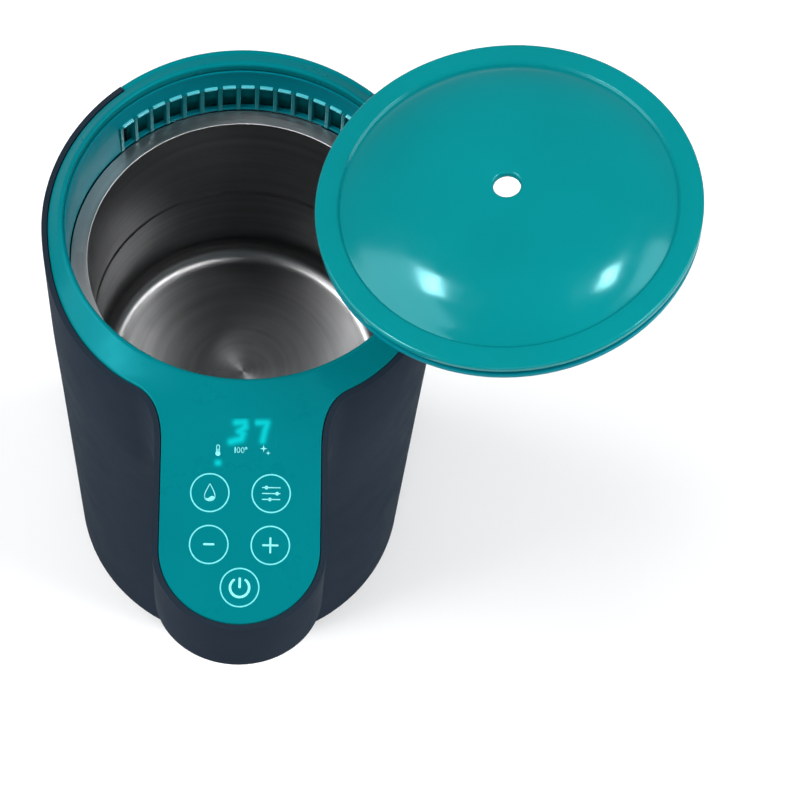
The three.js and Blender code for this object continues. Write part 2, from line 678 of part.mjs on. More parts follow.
add(root, 'pump_motor', pumpMotor(), steel);
add(root, 'pump_housing', pumpHousing(), chassis);
add(root, 'pump_impeller', pumpImpeller(), black);
add(root, 'suction_hose', suctionHose(), silicone);
add(root, 'outlet_hose', outletHose(), silicone);
add(root, 'spout_nozzle', spoutNozzle(), chassis);

add(root, 'fan_frame', fanFrame(), black);
add(root, 'fan_rotor', fanRotor(), black);
add(root, 'air_duct', airDuct(), chassis);

add(root, 'main_board', mainBoard(), board);
add(root, 'relay', relay(), black);
add(root, 'transformer', transformer(), copper);
add(root, 'capacitor', capacitor(), black);
add(root, 'terminal_block', terminalBlock(), board);
add(root, 'power_inlet', powerInlet(), black);
[[-7, 22], [7, 22], [0, 27]].forEach(([x, z], i) => add(root, `inlet_pin_${i + 1}`, inletPin(x, z), brass));

const panel = new THREE.Group();
panel.position.set(0, PANEL_START, OPENING_Z);
panel.rotation.x = rad(PANEL_SLOPE);
root.add(panel);
add(panel, 'control_board', controlBoard(), board);
add(panel, 'led_display', ledDisplay(), lamp);
[-9, 0, 9].forEach((x, i) => add(panel, `status_led_${i + 1}`, statusLed(x), lamp));
Object.entries(KEYS).forEach(([name, at]) => add(panel, `touch_spring_${name}`, touchSpring(at), brass));

const lid = new THREE.Group();
const held = new THREE.Quaternion().setFromAxisAngle(LID_AXIS, -rad(LID_ANGLE));
lid.quaternion.copy(held);
lid.position.copy(LID_PIVOT).sub(LID_PIVOT.clone().applyQuaternion(held));
root.add(lid);
add(lid, 'lid_cover', lidCover(), teal);
add(lid, 'lid_base', lidBase(), tealDeep);
add(lid, 'lid_seal', lidSeal(), silicone);

export default root;
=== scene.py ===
# Yogurt maker: a round milk and water warmer with a dispensing nose and a lift-off lid.
# Shapes are drawn in millimetres in the CAD frame and turned into metres as each mesh is made.
import json
import math

import bmesh
import bpy
from mathutils import Matrix, Vector


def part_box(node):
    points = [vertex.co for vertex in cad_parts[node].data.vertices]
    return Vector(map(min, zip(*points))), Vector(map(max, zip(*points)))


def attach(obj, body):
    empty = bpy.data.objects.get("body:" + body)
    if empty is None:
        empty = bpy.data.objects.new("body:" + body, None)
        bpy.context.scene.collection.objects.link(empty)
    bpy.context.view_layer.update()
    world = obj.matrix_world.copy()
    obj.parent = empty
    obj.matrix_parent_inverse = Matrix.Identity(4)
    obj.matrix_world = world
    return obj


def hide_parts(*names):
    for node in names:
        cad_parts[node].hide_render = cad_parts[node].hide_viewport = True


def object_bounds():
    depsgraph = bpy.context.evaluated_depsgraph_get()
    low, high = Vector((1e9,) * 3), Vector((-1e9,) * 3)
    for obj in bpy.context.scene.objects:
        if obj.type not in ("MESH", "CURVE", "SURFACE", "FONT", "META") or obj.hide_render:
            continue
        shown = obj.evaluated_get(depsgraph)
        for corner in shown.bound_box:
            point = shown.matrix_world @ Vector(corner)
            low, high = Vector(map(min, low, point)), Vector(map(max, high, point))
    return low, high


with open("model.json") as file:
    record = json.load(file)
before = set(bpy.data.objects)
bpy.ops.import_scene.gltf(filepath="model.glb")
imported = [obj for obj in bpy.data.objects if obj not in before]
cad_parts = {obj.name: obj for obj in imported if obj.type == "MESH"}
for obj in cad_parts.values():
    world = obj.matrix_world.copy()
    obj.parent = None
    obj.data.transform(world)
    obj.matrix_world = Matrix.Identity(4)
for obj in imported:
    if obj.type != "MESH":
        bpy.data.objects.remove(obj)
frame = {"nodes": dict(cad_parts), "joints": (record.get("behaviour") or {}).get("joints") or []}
CAD_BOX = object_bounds()
MM = 0.001


def box_mm(node):
    """A node's lowest and highest corners in millimetres."""
    low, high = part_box(node)
    return Vector(low) / MM, Vector(high) / MM


# ---------------------------------------------------------------- driving dimensions

GAP = 0.3
WALL = 2.2
BODY_R = box_mm("rear_cover")[1].y      # outer radius of the shell at the top
BASE_R = BODY_R - 3.1                   # just above the rounded foot edge
BASE_FILLET = 9.4
COVER_R = BODY_R - WALL - GAP
NOSE_Z = box_mm("nose_cover")[0].z      # underside of the nose
OPENING_Z = box_mm("top_cover")[1].z    # top of the mouth
OPENING_R = 73.2
RIM_Z = OPENING_Z - 4.3
RIM_WAVE = 2

SWELL = 7.4
SWELL_FROM = 85
NECK_AZ = 29
NOSE_HALF = 31
NOSE_SIDE_FROM = -99
NOSE_SIDE_TO = -138
NOSE_END = 27.7
PANEL_SLOPE = math.radians(16)
PANEL_START = -74
COVER_T = 2.2
COVER_LIP = 4.1

COLLAR_Z, COLLAR_TOP = box_mm("vent_collar")[0].z, box_mm("vent_collar")[1].z
COLLAR_R = 72.3
SLOT_COUNT = 15
SLOT_PITCH = 6.2
SLOT_WIDTH = 5.9
SLOT_LOW = COLLAR_Z + 1.2
SLOT_HIGH = COLLAR_Z + 16.6

FLANGE_R, VESSEL_TOP = box_mm("vessel")[1].x, box_mm("vessel")[1].z
VESSEL_R = FLANGE_R - 7
VESSEL_T = 0.9
VESSEL_FILLET = 9
VESSEL_FLOOR = VESSEL_TOP - 105
INTAKE_Y = box_mm("suction_hose")[0].y + 6.2

BACK_HALF = 40
BACK_STEP = 0.25
BACK_TOP = box_mm("rear_cover")[1].z
BACK_Z = box_mm("rear_cover")[0].z - GAP
LID_R = 75
LID_SEAT_Z = OPENING_Z + GAP
LID_TOP = LID_SEAT_Z + 10
LID_DOME = 10
LID_BRIM = LID_R - 10
LID_VENT_R = 5.3
LID_OPEN_R = 22
LID_SHOULDER = 4.5

# ---------------------------------------------------------------- camera


def photo_camera():
    """The photograph's view: from above the nose, looking down 63 degrees, with a long lens."""
    pitch, yaw, roll = math.radians(63.23), math.radians(-8.47), math.radians(8.64)
    turn = Matrix.Rotation(yaw, 3, "Z")
    forward = turn @ Vector((0, math.cos(pitch), -math.sin(pitch)))
    up = turn @ Vector((0, math.sin(pitch), math.cos(pitch)))
    right = turn @ Vector((1, 0, 0))
    across = math.cos(roll) * right + math.sin(roll) * up
    upward = -math.sin(roll) * right + math.cos(roll) * up
    camera = bpy.data.objects.new("camera", bpy.data.cameras.new("camera"))
    camera.data.lens = 106.74
    camera.data.sensor_width = 36
    camera.data.clip_start = 0.01
    camera.matrix_world = Matrix.Translation((0, -0.49325, 1.1043)) @ Matrix(
        (across, upward, -forward)).transposed().to_4x4()
    bpy.context.scene.collection.objects.link(camera)
    bpy.context.scene.camera = camera


photo_camera()

# ---------------------------------------------------------------- mesh helpers


def mesh_object(name, points, faces):
    """An object from points in millimetres, shaded smooth."""
    mesh = bpy.data.meshes.new(name)
    mesh.from_pydata([Vector(p) * MM for p in points], [], faces)
    mesh.validate()
    mesh.update()
    mesh.shade_smooth()
    obj = bpy.data.objects.new(name, mesh)
    bpy.context.scene.collection.objects.link(obj)
    return obj


def loft(name, columns, wrap=True, closed=True, keep=None, caps=False):
    """A surface through columns of points. wrap joins the last column to the first, closed the last point
    of a column to its first, caps fills the two end columns, and keep(column, row) says which faces stay."""
    rows = len(columns[0])
    points = [p for column in columns for p in column]
    faces = []
    for i in range(len(columns) if wrap else len(columns) - 1):
        j = (i + 1) % len(columns)
        for k in range(rows if closed else rows - 1):
            up = (k + 1) % rows
            if keep is None or keep(i, k):
                faces.append((i * rows + k, j * rows + k, j * rows + up, i * rows + up))
    if caps:
        faces.append(tuple(reversed(range(rows))))
        faces.append(tuple((len(columns) - 1) * rows + k for k in range(rows)))
    return mesh_object(name, points, faces)


def rounded(profile, segments=5):
    """A closed [r, z, corner radius] outline with each corner turned into an arc. Radius 0 stays sharp."""
    outline = []
    count = len(profile)
    for i, (x, y, radius) in enumerate(profile):
        corner = Vector((x, y))
        if radius == 0:
            outline.append((x, y))
            continue
        before = (Vector(profile[i - 1][:2]) - corner).normalized()
        after = (Vector(profile[(i + 1) % count][:2]) - corner).normalized()
        half = before.angle(after) / 2
        centre = corner + (before + after).normalized() * (radius / math.sin(half))
        start = corner + before * (radius / math.tan(half)) - centre
        end = corner + after * (radius / math.tan(half)) - centre
        swing = start.angle_signed(end)
        for k in range(segments + 1):
            turned = Matrix.Rotation(-swing * k / segments, 2) @ start
            outline.append(tuple(centre + turned))
    return outline


def turned(name, outline, steps=96):
    """A piece of revolution about Z from a closed [r, z] outline. Points on the axis may stay open."""
    on_axis = outline[0][0] == 0 and outline[-1][0] == 0
    columns = []
    for i in range(steps):
        a = 2 * math.pi * i / steps
        columns.append([(r * math.cos(a), r * math.sin(a), z) for r, z in outline])
    piece = loft(name, columns, closed=not on_axis)
    return tidy(piece)


def tidy(piece):
    """Merges points that meet and turns every face outward."""
    bm = bmesh.new()
    bm.from_mesh(piece.data)
    bmesh.ops.remove_doubles(bm, verts=bm.verts, dist=1e-6)
    bmesh.ops.dissolve_degenerate(bm, edges=bm.edges, dist=1e-7)
    bmesh.ops.recalc_face_normals(bm, faces=bm.faces)
    bm.to_mesh(piece.data)
    bm.free()
    piece.data.shade_smooth()
    return piece


def block(name, low, high):
    """A plain block, used as a cutter or as the start of a bevelled piece."""
    piece = mesh_object(name, [(x, y, z) for x in (low[0], high[0]) for y in (low[1], high[1])
                               for z in (low[2], high[2])],
                        [(0, 1, 3, 2), (4, 6, 7, 5), (0, 4, 5, 1), (2, 3, 7, 6), (0, 2, 6, 4), (1, 5, 7, 3)])
    return tidy(piece)


def prism(name, outline, z0, z1):
    """An upright prism on a closed plan outline."""
    columns = [[(x, y, z0), (x, y, z1)] for x, y in outline]
    piece = loft(name, columns, closed=False)
    bm = bmesh.new()
    bm.from_mesh(piece.data)
    bmesh.ops.holes_fill(bm, edges=[e for e in bm.edges if e.is_boundary])
    bm.to_mesh(piece.data)
    bm.free()
    return tidy(piece)


def round_rect(x0, x1, y0, y1, radius, segments=8):
    corners = [(x0, y0, radius), (x1, y0, radius), (x1, y1, radius), (x0, y1, radius)]
    return rounded(corners, segments)


def bake_modifiers(piece):
    """Turns the piece's modifiers into its mesh."""
    graph = bpy.context.evaluated_depsgraph_get()
    mesh = bpy.data.meshes.new_from_object(piece.evaluated_get(graph))
    piece.modifiers.clear()
    piece.data = mesh
    mesh.name = piece.name
    return piece


def carve(piece, cutters):
    """Cuts the cutters out of the piece and removes them."""
    for cutter in cutters:
        cut = piece.modifiers.new("cut", "BOOLEAN")
        cut.operation = "DIFFERENCE"
        cut.solver = "EXACT"
        cut.object = cutter
    bake_modifiers(piece)
    for cutter in cutters:
        bpy.data.objects.remove(cutter)
    return piece


def soften(piece, width=0.4, angle=45, segments=3):
    """Rounds the sharp edges and settles the shading of the broad faces."""
    bevel = piece.modifiers.new("edges", "BEVEL")
    bevel.width = width * MM
    bevel.segments = segments
    bevel.limit_method = "ANGLE"
    bevel.angle_limit = math.radians(angle)
    bevel.use_clamp_overlap = True
    bake_modifiers(piece)
    return settle(piece)


def settle(piece, angle=40):
    piece.data.shade_smooth()
    piece.data.set_sharp_from_angle(angle=math.radians(angle))
    weighted = piece.modifiers.new("shading", "WEIGHTED_NORMAL")
    weighted.keep_sharp = True
    return bake_modifiers(piece)


def thicken(piece, thickness=WALL):
    """Gives a surface its wall, inward."""
    wall = piece.modifiers.new("wall", "SOLIDIFY")
    wall.thickness = thickness * MM
    wall.offset = -1
    return bake_modifiers(piece)


def merged(name, pieces):
    """One object from several."""
    bm = bmesh.new()
    for piece in pieces:
        piece.data.transform(piece.matrix_world)
        bm.from_mesh(piece.data)
        bpy.data.objects.remove(piece)
    mesh = bpy.data.meshes.new(name)
    bm.to_mesh(mesh)
    bm.free()
    mesh.shade_smooth()
    obj = bpy.data.objects.new(name, mesh)
    bpy.context.scene.collection.objects.link(obj)
    return obj


def place(piece, material, nodes=(), body="housing"):
    """Gives the piece its material and its body, and hides the CAD nodes it stands for."""
    piece.data.materials.clear()
    piece.data.materials.append(material)
    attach(piece, body)
    if nodes:
        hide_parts(*nodes)
    return piece


# ---------------------------------------------------------------- materials


class Nodes:
    """A material's node tree, with short calls for the nodes used here."""

    def __init__(self, name):
        self.material = bpy.data.materials.new(name)
        self.material.use_nodes = True
        self.tree = self.material.node_tree
        self.shader = next(n for n in self.tree.nodes if n.type == "BSDF_PRINCIPLED")
        self.point = self.add("ShaderNodeTexCoord").outputs["Object"]

    def add(self, kind, **inputs):
        node = self.tree.nodes.new(kind)
        for key, value in inputs.items():
            socket = node.inputs[key.replace("_", " ")]
            if isinstance(value, bpy.types.NodeSocket):
                self.tree.links.new(value, socket)
            else:
                socket.default_value = value
        return node

    def link(self, output, name):
        self.tree.links.new(output, self.shader.inputs[name])

    def noise(self, scale, detail=3.0, rough=0.5, at=None):
        node = self.add("ShaderNodeTexNoise", Vector=at or self.point, Scale=scale, Detail=detail,
                        Roughness=rough)
        return node.outputs["Fac"]

    def spread(self, value, low, high, start=0.3, end=0.7):
        """Maps a value from start..end onto low..high."""
        node = self.add("ShaderNodeMapRange", Value=value)
        node.inputs["From Min"].default_value = start
        node.inputs["From Max"].default_value = end
        node.inputs["To Min"].default_value = low
        node.inputs["To Max"].default_value = high
        return node.outputs["Result"]

    def ramp(self, value, colours):
        """Colours spread evenly over 0.3 to 0.7 of a value."""
        node = self.add("ShaderNodeValToRGB", Fac=value)
        elements = node.color_ramp.elements
        while len(elements) < len(colours):
            elements.new(0.5)
        for i, colour in enumerate(colours):
            elements[i].position = 0.3 + 0.4 * i / (len(colours) - 1)
            elements[i].color = (*colour, 1)
        return node.outputs["Color"]

    def bump(self, height, strength, distance, below=None):
        node = self.add("ShaderNodeBump", Height=height, Strength=strength, Distance=distance)
        if below is not None:
            self.tree.links.new(below, node.inputs["Normal"])
        return node.outputs["Normal"]


WHITE = (1.0, 1.0, 1.0)


def scaled(colour, k):
    return tuple(min(1.0, c * k) for c in colour)


def moulded(name, colour, roughness, grain=0.25, grain_size=0.5, gloss=0.3, drift=0.06, tint=WHITE, ior=1.5):
    """Moulded plastic: a fine grain, a slow drift of tone, and a gloss that is never quite even."""
    n = Nodes(name)
    slow = n.noise(14, 2)
    fine = n.noise(1000 / grain_size, 2, 0.6)
    n.link(n.ramp(slow, [scaled(colour, 1 - drift), colour, scaled(colour, 1 + drift)]), "Base Color")
    smears = n.noise(60, 4, 0.7)
    n.link(n.spread(smears, roughness - 0.05, roughness + 0.06), "Roughness")
    waves = n.bump(n.noise(25, 1), 0.03, 0.0002)
    n.link(n.bump(fine, grain, 0.00006, waves), "Normal")
    n.shader.inputs["Specular IOR Level"].default_value = gloss
    n.shader.inputs["Specular Tint"].default_value = (*tint, 1)
    n.shader.inputs["IOR"].default_value = ior
    return n.material


def brushed(name, colour, roughness, bright=1.12):
    """Turned or drawn metal, brushed round its axis."""
    n = Nodes(name)
    parts = n.add("ShaderNodeSeparateXYZ", Vector=n.point)
    turn = n.add("ShaderNodeMath")
    turn.operation = "ARCTAN2"
    n.tree.links.new(parts.outputs["Y"], turn.inputs[0])
    n.tree.links.new(parts.outputs["X"], turn.inputs[1])
    reach = n.add("ShaderNodeVectorMath")
    reach.operation = "LENGTH"
    flat = n.add("ShaderNodeCombineXYZ", X=parts.outputs["X"], Y=parts.outputs["Y"])
    n.tree.links.new(flat.outputs["Vector"], reach.inputs[0])
    slow_turn = n.add("ShaderNodeMath")
    slow_turn.operation = "MULTIPLY"
    n.tree.links.new(turn.outputs["Value"], slow_turn.inputs[0])
    slow_turn.inputs[1].default_value = 0.0016
    line = n.add("ShaderNodeCombineXYZ", X=slow_turn.outputs["Value"], Y=reach.outputs["Value"],
                 Z=parts.outputs["Z"]).outputs["Vector"]
    scratches = n.noise(3200, 3, 0.65, at=line)
    bands = n.noise(260, 2, 0.6, at=line)
    n.link(n.ramp(bands, [scaled(colour, 2 - bright), colour, scaled(colour, bright)]), "Base Color")
    n.link(n.spread(scratches, roughness - 0.07, roughness + 0.1), "Roughness")
    n.link(n.bump(scratches, 0.22, 0.00003), "Normal")
    round_axis = n.add("ShaderNodeTangent")
    round_axis.direction_type = "RADIAL"
    round_axis.axis = "Z"
    n.link(round_axis.outputs["Tangent"], "Tangent")
    n.shader.inputs["Metallic"].default_value = 1.0
    n.shader.inputs["Anisotropic"].default_value = 0.6
    return n.material


def cast_metal(name, colour, roughness):
    """Bare cast or plated metal with a slight cloud and pits."""
    n = Nodes(name)
    n.link(n.ramp(n.noise(180, 4, 0.6), [scaled(colour, 0.85), colour, scaled(colour, 1.1)]), "Base Color")
    n.link(n.spread(n.noise(500, 3), roughness - 0.08, roughness + 0.1), "Roughness")
    n.link(n.bump(n.noise(1600, 2), 0.3, 0.00008), "Normal")
    n.shader.inputs["Metallic"].default_value = 1.0
    return n.material


def rubber(name, colour, roughness, soft=0.0):
    """Silicone or rubber: matte, slightly dusty, with a fine skin."""
    n = Nodes(name)
    n.link(n.ramp(n.noise(90, 4, 0.7), [scaled(colour, 0.88), colour, scaled(colour, 1.1)]), "Base Color")
    n.link(n.spread(n.noise(240, 3), roughness - 0.06, roughness + 0.08), "Roughness")
    n.link(n.bump(n.noise(2600, 2), 0.3, 0.00005), "Normal")
    n.shader.inputs["Subsurface Weight"].default_value = soft
    n.shader.inputs["Subsurface Scale"].default_value = 0.002
    return n.material


def circuit_board():
    """Green solder mask over copper tracks."""
    n = Nodes("circuit_board")
    tracks = n.add("ShaderNodeTexBrick", Vector=n.point, Scale=160.0)
    tracks.inputs["Color1"].default_value = (0.010, 0.11, 0.045, 1)
    tracks.inputs["Color2"].default_value = (0.014, 0.14, 0.06, 1)
    tracks.inputs["Mortar"].default_value = (0.05, 0.25, 0.09, 1)
    tracks.inputs["Mortar Size"].default_value = 0.06
    n.link(tracks.outputs["Color"], "Base Color")
    n.link(n.bump(tracks.outputs["Fac"], 0.4, 0.00005), "Normal")
    n.link(n.spread(n.noise(300), 0.25, 0.4), "Roughness")
    return n.material


def winding(name, colour):
    """Copper wire wound round a core."""
    n = Nodes(name)
    turns = n.add("ShaderNodeTexWave", Vector=n.point, Scale=420.0, Distortion=0.6, Detail=1.0)
    turns.bands_direction = "Z"
    n.link(n.ramp(turns.outputs["Fac"], [scaled(colour, 0.5), colour, scaled(colour, 1.15)]), "Base Color")
    n.link(n.bump(turns.outputs["Fac"], 0.6, 0.0002), "Normal")
    n.link(n.spread(n.noise(200), 0.32, 0.45), "Roughness")
    n.shader.inputs["Metallic"].default_value = 0.85
    return n.material


def printed(name, colour):
    """Screen-printed ink: thin, a little uneven at the edges of the mesh."""
    n = Nodes(name)
    n.link(n.ramp(n.noise(900, 3), [scaled(colour, 0.9), colour, scaled(colour, 1.06)]), "Base Color")
    n.link(n.spread(n.noise(700), 0.38, 0.5), "Roughness")
    n.link(n.bump(n.noise(1800, 2), 0.2, 0.00003), "Normal")
    return n.material


TEAL = (0.0003, 0.153, 0.175)
# The lid's teal is a lighter copy of the ring's: painted light, as if the lid stood more brightly lit.
TEAL_LID_LIT = (0.0003, 0.200, 0.215)
TEAL_DEEP = (0.0003, 0.185, 0.23)
TEAL_GLOSS = 0.14
TEAL_SHEEN = (0.06, 0.85, 1.0)
SLATE = (0.0145, 0.0225, 0.034)
GLOW = (0.002, 0.42, 0.44)


def glowing_teal():
    """The teal moulding where the lamps under it shine through. The mesh says how much."""
    n = Nodes("teal_lit")
    light = n.add("ShaderNodeAttribute")
    light.attribute_name = "glow"
    slow = n.ramp(n.noise(14, 2), [scaled(TEAL, 0.94), TEAL, scaled(TEAL, 1.06)])
    mix = n.add("ShaderNodeMix")
    mix.data_type = "RGBA"
    n.tree.links.new(light.outputs["Fac"], mix.inputs["Factor"])
    n.tree.links.new(slow, mix.inputs["A"])
    mix.inputs["B"].default_value = (*GLOW, 1)
    n.link(mix.outputs["Result"], "Base Color")
    n.link(n.spread(n.noise(60, 4, 0.7), 0.27, 0.38), "Roughness")
    n.link(n.bump(n.noise(2000, 2, 0.6), 0.1, 0.00006, n.bump(n.noise(25, 1), 0.05, 0.0002)), "Normal")
    strength = n.add("ShaderNodeMath")
    strength.operation = "MULTIPLY"
    n.tree.links.new(light.outputs["Fac"], strength.inputs[0])
    strength.inputs[1].default_value = 0.05
    n.link(strength.outputs["Value"], "Emission Strength")
    n.shader.inputs["Emission Color"].default_value = (*GLOW, 1)
    n.shader.inputs["Specular IOR Level"].default_value = TEAL_GLOSS
    n.shader.inputs["Specular Tint"].default_value = (*TEAL_SHEEN, 1)
    return n.material


teal = moulded("teal_plastic", TEAL, 0.3, 0.10, 0.5, TEAL_GLOSS, tint=TEAL_SHEEN)
teal_deep = moulded("teal_plastic_inner", TEAL_DEEP, 0.38, 0.15, 0.5, 0.05, tint=TEAL_SHEEN)
# The lid: a glossier finish than the ring, in the lighter teal copy, which is painted light.
teal_lid = moulded("teal_lid_gloss_painted_light", TEAL_LID_LIT, 0.15, 0.06, 0.5, 0.22, tint=(0.4, 0.9, 1.0))
slate = moulded("slate_plastic", SLATE, 0.55, 0.3, 0.6, 0.02, drift=0.05, tint=(0.6, 0.8, 1.0), ior=1.2)
# A lighter teal for the hoods over the collar windows: a painted highlight where their top edges catch the
# light.
teal_hood_painted_highlight = moulded("teal_hood_painted_highlight", (0.10, 0.62, 0.70), 0.2, 0.1, 0.5, 0.5)
# The flange's steel, and a darker copy of the same steel for the pot's inside: painted shade inside the pot.
steel_flange = brushed("steel_flange", (0.52, 0.52, 0.53), 0.36)
steel_inside_painted_shade = brushed("steel_inside_painted_shade", (0.22, 0.22, 0.222), 0.36)
steel = brushed("steel_parts", (0.5, 0.5, 0.51), 0.32)
aluminium = cast_metal("cast_aluminium", (0.55, 0.56, 0.57), 0.42)
brass = cast_metal("plated_brass", (0.6, 0.45, 0.18), 0.3)
copper = winding("copper_winding", (0.6, 0.28, 0.13))
silicone = rubber("silicone", (0.55, 0.58, 0.58), 0.5, soft=0.15)
foot_rubber = rubber("foot_rubber", (0.022, 0.023, 0.025), 0.75)
white_plastic = moulded("chassis_plastic", (0.52, 0.53, 0.54), 0.5, 0.3, 0.8)
black_plastic = moulded("black_plastic", (0.014, 0.015, 0.017), 0.45, 0.4, 0.7)
board = circuit_board()
lamp = printed("lamp_lens", (0.3, 0.8, 0.82))
ink = printed("panel_ink", (0.19, 0.75, 0.78))
ink_faint = printed("panel_ink_thin", (0.10, 0.62, 0.65))

# ---------------------------------------------------------------- plan outline of the head


def clamp01(t):
    return min(1.0, max(0.0, t))


def smooth(t):
    return t * t * (3 - 2 * t)


def mix(a, b, t):
    return a + (b - a) * t


def cover_radius(azimuth):
    """Radius of the cover's edge, by degrees off the front."""
    off = abs(azimuth - 360 if azimuth > 180 else azimuth)
    return COVER_R + SWELL * smooth(clamp01((SWELL_FROM - off) / (SWELL_FROM - 25)))


def rim_points(offset, azimuths):
    points = []
    for azimuth in azimuths:
        r, a = cover_radius(azimuth) + offset, math.radians(azimuth)
        points.append((r * math.sin(a), -r * math.cos(a)))
    return points


def spaced(start, end, count):
    return [mix(start, end, i / count) for i in range(count + 1)]


SIDE_STEPS, BACK_STEPS = 64, 44
BACK_FROM, BACK_TO = 180 - BACK_HALF, 180 + BACK_HALF
RIM_AZIMUTHS = (spaced(NECK_AZ, BACK_FROM, SIDE_STEPS)
                + spaced(BACK_FROM + BACK_STEP, BACK_TO - BACK_STEP, BACK_STEPS)
                + spaced(BACK_TO, 360 - NECK_AZ, SIDE_STEPS))


def nose_points(offset):
    """The neck, the nose's side and half of its round end, on the -X side, going forward."""
    half = NOSE_HALF + offset
    start = rim_points(offset, [360 - NECK_AZ])[0]
    bend = (-half, start[1] - (abs(start[0]) - half) * math.tan(math.radians(NECK_AZ)))
    end = (-half, NOSE_SIDE_FROM)
    points = []
    for k in range(1, 13):
        t = k / 12
        points.append(tuple((1 - t) ** 2 * start[i] + 2 * t * (1 - t) * bend[i] + t * t * end[i]
                            for i in (0, 1)))
    points += [(-half, mix(NOSE_SIDE_FROM, NOSE_SIDE_TO, k / 12)) for k in range(1, 12)]
    for k in range(29):
        turn = math.pi * (1 + 0.5 * k / 28)
        points.append((half * math.cos(turn), NOSE_SIDE_TO + (NOSE_END + offset) * math.sin(turn)))
    return points


def head_outline(offset, back_offset=None):
    """The cover's outline pushed out by an offset, anticlockwise from the +X end of the neck."""
    back_offset = offset if back_offset is None else back_offset
    rim = []
    for azimuth in RIM_AZIMUTHS:
        rim += rim_points(back_offset if abs(azimuth - 180) < BACK_HALF else offset, [azimuth])
    left = nose_points(offset)
    right = [(-x, y) for x, y in reversed(left[:-1])]
    return rim + left + right


def cover_height(x, y):
    """A cone from the mouth down to the rim, then the sloping panel."""
    r = math.hypot(x, y)
    azimuth = math.degrees(math.atan2(x, -y))
    rim = RIM_Z + RIM_WAVE * math.cos(math.radians(2 * azimuth))
    across = clamp01((r - OPENING_R) / (cover_radius(azimuth) - OPENING_R))
    cone = OPENING_Z - across * (OPENING_Z - rim)
    panel = OPENING_Z - (PANEL_START - y) * math.tan(PANEL_SLOPE)
    return mix(cone, panel, smooth(clamp01((PANEL_START + 4 - y) / 20)))


def body_radius(z):
    return mix(BASE_R, BODY_R, clamp01((z - BASE_FILLET) / (NOSE_Z - BASE_FILLET)))


# ---------------------------------------------------------------- shell and rear cover

FOOT_STEPS, WALL_STEPS, SHOULDER_STEPS, HEAD_STEPS = 9, 14, 28, 8
BACK_ROW = FOOT_STEPS + 1               # the row of the shell at the rear cover's lower edge


def shell_column(outer, top, back_z=BACK_Z):
    """Points up the shell's face in the upright plane through the axis and an outline point.
    The body swells into the head softly at the sides, and turns out sharply under the nose."""
    reach = math.hypot(*outer)
    out = reach - BODY_R
    sharp = smooth(clamp01((out - SWELL) / 18))
    below, above, power = mix(70, 8, sharp), mix(45, 9, sharp), mix(1, 8, sharp)
    column = []
    for k in range(FOOT_STEPS):
        a = math.pi / 2 * k / FOOT_STEPS
        column.append((BASE_R - BASE_FILLET * (1 - math.sin(a)), BASE_FILLET * (1 - math.cos(a))))
    column.append((body_radius(BASE_FILLET), BASE_FILLET))
    for k in range(WALL_STEPS):
        z = mix(back_z, NOSE_Z - below, k / WALL_STEPS)
        column.append((body_radius(z), z))
    for k in range(SHOULDER_STEPS):
        t = k / SHOULDER_STEPS
        t = mix(t, smooth(t), sharp)
        z = NOSE_Z - below * (1 - t) ** power + above * t ** power
        column.append((body_radius(z) + out * smooth(t), z))
    for k in range(HEAD_STEPS + 1):
        z = mix(NOSE_Z + above, top, k / HEAD_STEPS)
        column.append((reach, z))
    x, y = outer[0] / reach, outer[1] / reach
    return [(r * x, r * y, z) for r, z in column]


def outer_shell():
    outer, edge = head_outline(WALL + GAP), head_outline(0)
    columns = [shell_column(o, cover_height(*e)) for o, e in zip(outer, edge)]
    back = range(SIDE_STEPS, SIDE_STEPS + BACK_STEPS + 2)
    shell = loft("outer_shell_skin", columns, closed=False, keep=lambda i, k: i not in back or k < BACK_ROW)
    bm = bmesh.new()
    bm.from_mesh(shell.data)
    bmesh.ops.delete(bm, geom=[v for v in bm.verts if not v.link_faces], context="VERTS")
    bm.to_mesh(shell.data)
    bm.free()
    thicken(shell)
    low, high = box_mm("nose_cover")
    inside = round_rect(low.x + 2.2, high.x - 2.2, low.y + 2.2, high.y - 2.2, 12)
    hatch = prism("hatch", inside, low.z - 6, high.z)
    carve(shell, [hatch])
    soften(shell, 0.45)
    return place(shell, slate, ["outer_shell"])


def slot_cutter(name, half, z, height, y0, y1):
    """A round-ended slot along X, cut through along Y."""
    outline = round_rect(-half, half, z - height / 2, z + height / 2, height / 2 - 0.05, 6)
    cutter = prism(name, outline, -y1, -y0)
    cutter.data.transform(Matrix.Rotation(math.pi / 2, 4, "X"))
    return cutter


def rear_cover():
    outer = rim_points(WALL + GAP, spaced(BACK_FROM + BACK_STEP, BACK_TO - BACK_STEP, 60))
    columns = [shell_column(o, BACK_TOP, BACK_Z + GAP)[BACK_ROW:] for o in outer]
    cover = thicken(loft("rear_cover_skin", columns, wrap=False, closed=False))
    fan = box_mm("fan_rotor")
    middle = (fan[0].z + fan[1].z) / 2
    cutters = [slot_cutter("slot", 22, middle - 21 + 6 * i, 3, 60, 90) for i in range(8)]
    low, high = box_mm("power_inlet")
    cutters.append(block("socket", (low.x - GAP, 60, low.z - GAP), (high.x + GAP, 90, high.z + GAP)))
    for node in ("rear_screw_1", "rear_screw_2"):
        low, high = box_mm(node)
        hole = prism("hole", round_rect(-3.3, 3.3, -3.3, 3.3, 3.25, 8), -90, -68.3)
        hole.data.transform(Matrix.Translation((0, 0, (low.z + high.z) / 2 * MM))
                            @ Matrix.Translation(((low.x + high.x) / 2 * MM, 0, 0))
                            @ Matrix.Rotation(math.pi / 2, 4, "X"))
        cutters.append(hole)
    carve(cover, cutters)
    soften(cover, 0.35)
    return place(cover, teal, ["rear_cover"])


# ---------------------------------------------------------------- top cover and its panel


